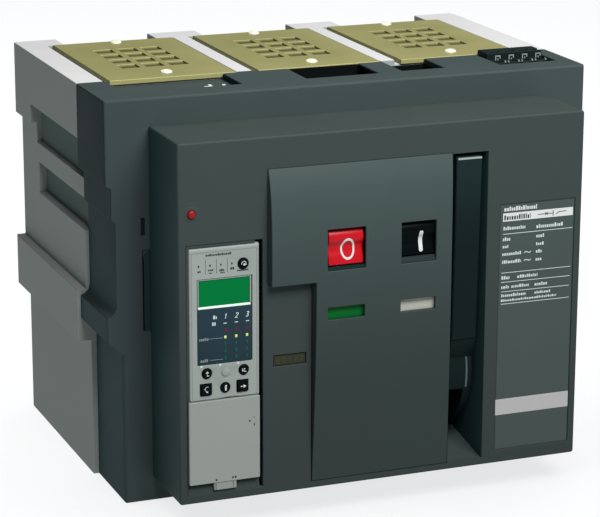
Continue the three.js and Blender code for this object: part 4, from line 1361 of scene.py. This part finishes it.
round_key("trip_test_key", -108.3, 192.1, 3.8)
round_key("trip_up_key", -135.6, 114.5, 3.45)
round_key("trip_down_key", -108.1, 114.4, 3.45)
square_key("trip_menu_key", -136.4, 102.6, 3.9)
round_key("trip_info_key", -122.0, 102.8, 3.5)
square_key("trip_enter_key", -109.1, 102.6, 3.9)


def arc_pts(cx, cz, r, a0, a1, n=9):
    return [(cx + r * math.cos(math.radians(a0 + (a1 - a0) * i / (n - 1))), cz + r * math.sin(math.radians(a0 + (a1 - a0) * i / (n - 1)))) for i in range(n)]


def icon(node, outlines, mat):
    x, z = KEY_AT[node]
    moved = [[(x + px, z + pz) for px, pz in o] for o in outlines]
    multi(node + "_icon", on_y(moved, -155.66, 0.1, 0.3), mat, node)


icon("trip_test_key", [stroke(arc_pts(0.1, 0.2, 1.7, -40, 200), 0.45), circle(0.5, -0.4, 0.85, 14)], M_PRINT2)
icon("trip_up_key", [stroke([(-1.2, 0.6), (-0.2, 1.7), (0.8, 0.6)], 0.55), stroke([(-0.2, 1.3), (-0.2, -0.5)], 0.5), rect(-0.6, 1.2, -1.6, -1.05)], M_PRINT2)
icon("trip_down_key", [stroke([(-1.4, 1.3), (-1.4, -1.0)], 0.5), stroke([(-0.8, 0.1), (0.2, -1.0), (1.4, -1.0)], 0.55), circle(0.1, 0.9, 0.5, 10)], M_PRINT2)
icon("trip_menu_key", [stroke(arc_pts(0.6, 0.9, 1.6, 60, 220), 0.35), rect(-1.8, -0.6, 0.6, 1.0), rect(-0.1, 1.1, -1.9, -0.9), stroke([(-0.6, -0.4), (0.2, -1.2)], 0.5)], M_PRINT2)
icon("trip_info_key", [rect(-0.55, 0.55, -1.9, 0.9), rect(-1.0, 0.0, 0.3, 0.9), circle(0.1, 1.55, 0.7, 12)], M_PRINT)
icon("trip_enter_key", [rect(-1.7, 0.6, -0.35, 0.25), [(0.4, -1.35), (2.4, -0.05), (0.4, 1.25)]], M_PRINT)

# ------------------------------------------------------------------ trip unit face

o = rbox("trip_led_panel", -142.2, -102.2, -154.65, -152.3, 121.2, 161.6, M_LEDP, ROOT, 0.15, 2)
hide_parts("trip_unit_display")
lcd_bm = prism_bm(rect(-141.4, -103.4, 163.6, 182.6), "y", -154.0, -152.3)
obj_from_bm("trip_lcd_window", lcd_bm, M_LCD, ROOT)
multi("trip_lcd_frame", on_y([rect(-142.1, -141.4, 163.5, 182.9), rect(-141.4, -103.2, 182.55, 182.95)], -154.45, 0.12, 1.4), M_TRIP, ROOT)
multi("trip_lcd_frame_right", on_y([rect(-103.35, -102.5, 163.5, 182.9)], -154.45, 0.12, 1.4), M_TRIP, ROOT)
# painted highlight: the lip below the LCD is coloured near white for the light on its bevel
prism("trip_lcd_lip", [(-154.8, 161.9), (-154.6, 162.7), (-154.1, 163.3), (-152.8, 163.5), (-152.8, 161.8), (-154.6, 161.75)], "x", -141.9, -102.9, M_LIP_HIGHLIGHT, ROOT, 0.1, 2)
leds = {"red": (M_LRED, (145.2,)), "yellow": (M_YEL, (140.0,)), "green": (M_LGRN, (135.1, 130.0, 124.9))}
for colour, (mat, zs) in leds.items():
    w, h = {"red": (0.75, 1.15), "yellow": (0.85, 1.0), "green": (0.75, 1.2)}[colour]
    multi(f"trip_led_{colour}", on_y([rect(x - w, x + w, z - h, z + h)
                                      for x in (-121.9, -113.8, -105.7) for z in zs], -154.65, 0.22, 0.3), mat, ROOT, r=0.15, seg=2)
marks = []
for ch, x in (("1", -121.6), ("2", -113.2), ("3", -105.3)):
    marks += digit(ch, x, 155.2, 3.4, 0.55, 0.25)
marks += blocks(-130.8, -128.2, 155.2, 2.6, 3) + blocks(-131.6, -129.0, 150.4, 2.4, 5)
for x in (-122.0, -113.6, -105.3):
    marks += [rect(x - 1.2, x + 1.2, 149.9, 150.5)]
multi("trip_led_digits", on_y(marks, -154.65), M_PRINT2, ROOT)
marks = blocks(-141.2, -134.0, 139.9, 2.2, 7, 0.35) + blocks(-140.4, -134.4, 124.2, 2.2, 9, 0.35)
marks += [stroke([(-133.4, 139.8), (-123.8, 139.7)], 0.34), stroke([(-133.4, 124.1), (-123.8, 124.0)], 0.34)]
multi("trip_led_scale", on_y(marks, -154.65), M_SCALE, ROOT)
multi("trip_face_dots", on_y([rect(x - 0.75, x + 0.75, 119.2, 120.6) for x in (-139.7, -125.8, -112.3)], -154.4, 0.15), M_PRINT, ROOT)
marks = [[(x - 0.75, 192.9), (x, 191.8), (x + 0.75, 192.9), (x, 194.0)] for x in (-141.2, -132.8, -124.8, -116.7)]
marks += blocks(-142.0, -139.7, 189.2, 1.5, 2, 0.25) + blocks(-134.2, -130.2, 189.7, 1.4, 4, 0.25) + blocks(-133.6, -131.4, 187.6, 1.0, 6, 0.25)
marks += blocks(-126.0, -122.4, 189.0, 1.8, 8, 0.25) + blocks(-125.2, -122.0, 187.2, 1.0, 10, 0.25) + blocks(-117.8, -114.8, 189.4, 1.7, 12, 0.25)
marks += blocks(-112.9, -104.5, 187.5, 1.2, 14, 0.25)
marks += blocks(-136.0, -117.0, 200.5, 1.6, 21, 0.3)
marks += [stroke([(x, 197.2), (x, 186.9)], 0.26) for x in (-136.15, -128.05, -119.95)]
multi("trip_face_marks", on_y(marks, -154.4, 0.08), M_PRINTK, ROOT)
edge = [(-146.5, 95.8), (-146.5, 202.5), (-98.2, 202.7), (-98.2, 95.8)]
multi("trip_face_line", on_y([stroke(edge[:2], 0.3), stroke([(-146.35, 202.5), (-98.35, 202.7)], 0.32), stroke(edge[2:][::-1], 0.3)], -154.4, 0.06), M_LINE, ROOT)
seam = [(-148.0, 95.3), (-141.5, 95.1), (-138.6, 94.9), (-136.2, 94.85), (-133.6, 94.95), (-129.0, 95.1), (-125.0, 95.4), (-119.0, 95.9), (-114.0, 95.6), (-109.5, 95.1), (-104.8, 94.9)]
multi("trip_face_seam", [(stroke(seam, 0.42), "y", -154.52, -154.2), (stroke([(-102.8, 95.0), (-97.0, 95.4)], 0.42), "y", -154.52, -154.2)], M_LINE, ROOT)
# raised grey blank between the two arrow keys
lathe("trip_blank_key", [(0, -155.3), (2.4, -155.3), (2.75, -155.15), (2.9, -154.9), (2.9, -154.75), (3.35, -154.7), (3.5, -154.5), (3.5, -154.2), (0, -154.2)], "y", -121.6, 114.3, M_TRIP, ROOT, 48)
# cover: sealing holes, keyhole marks and finger tab
multi("trip_cover_marks", on_y([circle(-104.3, 76.2, 0.75, 10), [(-101.3, 78.1), (-100.6, 78.1), (-100.5, 78.9), (-101.2, 78.9)], [(-101.2, 72.2), (-100.5, 72.2), (-100.4, 74.3), (-101.1, 74.3)]], -156.0, 0.06, 0.2), M_PRINTK, "trip_unit_cover")
multi("trip_cover_tab_holes", on_y([circle(-129.6, 34.9, 0.8, 10), circle(-117.2, 35.4, 0.75, 10), circle(-115.1, 35.5, 0.85, 10)], -156.0, 0.06, 0.2), M_PRINTK, "trip_unit_cover")
multi("trip_cover_tab_ribs", [(stroke([(-129.6, 27.3), (-129.6, 33.6)], 0.5), "y", -155.75, -155.3), (stroke([(-116.6, 28.2), (-116.6, 33.4)], 0.45), "y", -155.75, -155.3)], M_LINE, "trip_unit_cover")

# ------------------------------------------------------------------ counter

multi("counter_wheels", on_y([rect(-84.0 + i * 4.55, -80.0 + i * 4.55, 114.5, 120.4) for i in range(5)], -152.8, 0.15, 0.3), M_COUNT2, ROOT, r=0.1, seg=1)
marks = []
for i, ch in enumerate("00127"):
    marks += digit(ch, -82.0 + i * 4.55, 117.45, 3.6, 0.5)
multi("counter_digits", on_y(marks, -152.95, 0.08, 0.1), M_CDIG, ROOT)

# ------------------------------------------------------------------ rating plate

PY = -153.4
multi("rating_white_bar", on_y([rect(92.5, 149.1, 202.9 + 0.2, 209.2)], PY, 0.1, 0.1), M_PRINT, ROOT)
sym = [stroke([(120.5, 206.0), (129.0, 206.1)], 0.5), stroke([(126.4, 204.9), (128.6, 207.2)], 0.45), stroke([(126.4, 207.2), (128.6, 204.9)], 0.45),
       rect(129.0, 132.6, 205.8, 206.3), rect(132.6, 133.2, 203.9, 208.2), stroke([(135.3, 205.0), (137.6, 206.6), (143.6, 206.9)], 0.5)]
sym += blocks(93.4, 114.6, 205.9, 3.6, 31, 0.7)
multi("rating_symbol", on_y(sym, PY - 0.1, 0.08, 0.05), M_PRINTK, ROOT)
multi("rating_rules", on_y([stroke([(92.8, 193.6), (149.2, 193.6)], 0.42), stroke([(92.2, 164.4), (148.3, 164.1)], 0.42), stroke([(92.2, 157.3), (148.2, 157.0)], 0.42),
                            stroke([(92.4, 150.1), (147.8, 149.7)], 0.42), stroke([(92.4, 140.7), (148.0, 140.5)], 0.42)], PY, 0.09), M_PRINT2, ROOT)
text = []
rows = [(93.0, 110.6, 197.9, 3.0, 40), (119.6, 141.8, 197.2, 3.2, 41), (92.8, 98.6, 189.8, 3.2, 42), (119.8, 126.0, 190.0, 3.0, 43),
        (92.8, 97.2, 184.2, 2.6, 44), (119.8, 126.4, 184.0, 2.6, 45), (92.6, 107.8, 178.6, 2.8, 46), (119.8, 124.4, 178.4, 2.8, 47),
        (92.6, 107.8, 172.6, 2.8, 48), (119.8, 124.4, 172.4, 2.8, 49), (92.4, 99.0, 160.7, 3.0, 50), (105.2, 121.6, 160.6, 2.6, 51),
        (92.4, 99.2, 153.6, 2.8, 52), (100.6, 115.2, 153.6, 2.6, 53), (119.6, 130.4, 153.4, 2.8, 54), (92.6, 112.6, 147.2, 2.6, 55), (119.6, 132.4, 147.0, 2.2, 56),
        (92.4, 137.4, 143.4, 1.9, 57)]
for x0, x1, z, h, k in rows:
    text += blocks(x0, x1, z, h * 0.88, k, 0.55)
for z in (178.5, 172.5):
    text.append(stroke([(110.2, z - 0.5), (111.4, z + 0.5), (113.0, z), (114.4, z - 0.5), (115.8, z + 0.4)], 0.6))
multi("rating_rows", on_y(text, PY, 0.08), M_PRINT2, ROOT)
multi("rating_heading", on_y(blocks(93.4, 119.6, 212.3, 3.2, 67, 0.6), PY, 0.08), M_PRINT, ROOT)
multi("rating_silver_strip", on_y([rect(89.9, 149.9, 55.2, 67.4)], PY, 0.3, 0.05), M_SILVER, ROOT, r=0.08, seg=1)

# fillers that close the hairline round the plate and the panel, as moulded lips do
multi("plate_seat", [(rect(90.02, 90.38, 28.02, 215.98), "y", -153.5, -152.3), (rect(90.4, 150.1, 215.62, 215.98), "y", -153.6, -152.3), (rect(90.4, 150.1, 28.02, 28.38), "y", -153.6, -152.3)], M_FASCIA, ROOT)
multi("trip_seat", [(rect(-150.15, -148.5, 95.2, 207.9), "y", -153.85, -150.5), (rect(-150.15, -149.85, 24.6, 95.0), "y", -153.85, -150.5), (rect(-148.4, -99.5, 206.15, 207.9), "y", -153.85, -150.5)], M_FASCIA, ROOT)
multi("panel_seat", [(rect(-89.88, 51.38, 257.52, 257.88), "y", -153.85, -151.0), (rect(-89.88, -89.52, 174.12, 257.4), "y", -153.85, -151.0)], M_FASCIA, ROOT)

# floors of the two latching slots beside the fascia, dark sheets that paint the shade inside them, and the rounded
# corner of the long one
multi("frame_slot_shade_short", [(rect(-161.8, -159.6, 201.2, 213.8), "y", -89.0, -88.0)], M_SLOT_DEEP_SHADE, ROOT)
multi("frame_slot_shade_long", [(rect(-160.2, -154.2, 130.2, 189.8), "y", -90.0, -88.0)], M_SLOT_SHADE, ROOT)
multi("frame_slot_shadow_line", [(rect(-161.0, -160.3, 130.2, 184.8), "y", -89.3, -88.0)], M_BORE, ROOT)
arc = [(-155.6 + 5.4 * math.cos(math.radians(180 - i * 9)), 184.4 + 5.4 * math.sin(math.radians(180 - i * 9))) for i in range(11)]
multi("frame_slot_corner", [(arc + [(-161.0, 189.8)], "y", -90.95, -90.2)], M_FRAME, ROOT)

# sill of the recess below the trip unit cover; it steps back behind the finger tab
slope = [(-153.75, 24.25), (-151.6, 32.4), (-149.6, 32.4), (-149.6, 24.25)]
step = [(-153.75, 24.25), (-153.3, 26.2), (-151.8, 26.3), (-151.6, 32.4), (-149.6, 32.4), (-149.6, 24.25)]
multi("trip_cover_sill", [(slope, "x", -149.9, -131.5), (step, "x", -131.5, -113.5), (slope, "x", -113.5, -96.1)], M_FASCIA, ROOT)

# ------------------------------------------------------------------ charging handle trims

# neck that carries the front of the lever down into the round hub
prism("charging_handle_neck", [(-148.4, 116.4), (-146.2, 108.0), (-141.8, 98.0), (-135.0, 88.0), (-128.4, 80.0), (-122.0, 80.0), (-122.0, 114.0), (-132.0, 118.0)], "x", 55.45, 75.35, M_HANDLE, "charging_handle", 0.3, 2)
# painted highlight: a pale strip along the top edge of the lever
multi("charging_handle_tip_highlight", [(rect(-152.75, -150.9, 251.6, 253.0), "x", 56.2, 75.0)], M_TIP_HIGHLIGHT, "charging_handle", r=0.25, seg=2)
# painted highlight: a pale sliver where the thin web starts, widening downwards, for the light caught on the rim
outer = [(-91.0 - 53.1 * math.cos(math.radians(14 - i * 2.2)), 88.0 + 53.1 * math.sin(math.radians(14 - i * 2.2))) for i in range(13)]
inner = [(-91.0 - (53.0 - 0.08 * i) * math.cos(math.radians(14 - i * 2.2)), 88.0 + (53.0 - 0.08 * i) * math.sin(math.radians(14 - i * 2.2))) for i in range(13)]
multi("charging_handle_rim_highlight", [(outer + inner[::-1], "x", 69.7, 71.2)], M_RIM_HIGHLIGHT, "charging_handle")

# ------------------------------------------------------------------ closing spring

def coil_spring():
    cx, cy, z0, z1, r, w, turns = -66.0, -91.0, 92.4, 224.6, 10.5, 1.8, 9
    bm = bmesh.new()
    n, m = turns * 40, 14
    rings = []
    for i in range(n + 1):
        t = i / n
        a = t * turns * 2 * math.pi
        e = min(t, 1 - t) * turns
        z = z0 + w + t * (z1 - z0 - 2 * w)
        c = Vector((cx + r * math.cos(a), cy + r * math.sin(a), z))
        tan = Vector((-math.sin(a) * r * turns * 2 * math.pi, math.cos(a) * r * turns * 2 * math.pi, z1 - z0 - 2 * w)).normalized()
        rad = Vector((math.cos(a), math.sin(a), 0.0))
        up = rad.cross(tan).normalized()
        rings.append([bm.verts.new((c + rad * (w * math.cos(2 * math.pi * j / m)) + up * (w * math.sin(2 * math.pi * j / m))) * MM) for j in range(m)])
    for a, b in zip(rings, rings[1:]):
        for j in range(m):
            bm.faces.new((a[j], a[(j + 1) % m], b[(j + 1) % m], b[j]))
    bm.faces.new(rings[0])
    bm.faces.new(rings[-1])
    bmesh.ops.recalc_face_normals(bm, faces=bm.faces[:])
    o = obj_from_bm("closing_spring_coil", bm, M_SPRING, ROOT)
    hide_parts("closing_spring")
    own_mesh(o)


coil_spring()


link_lights(*LIGHTS)
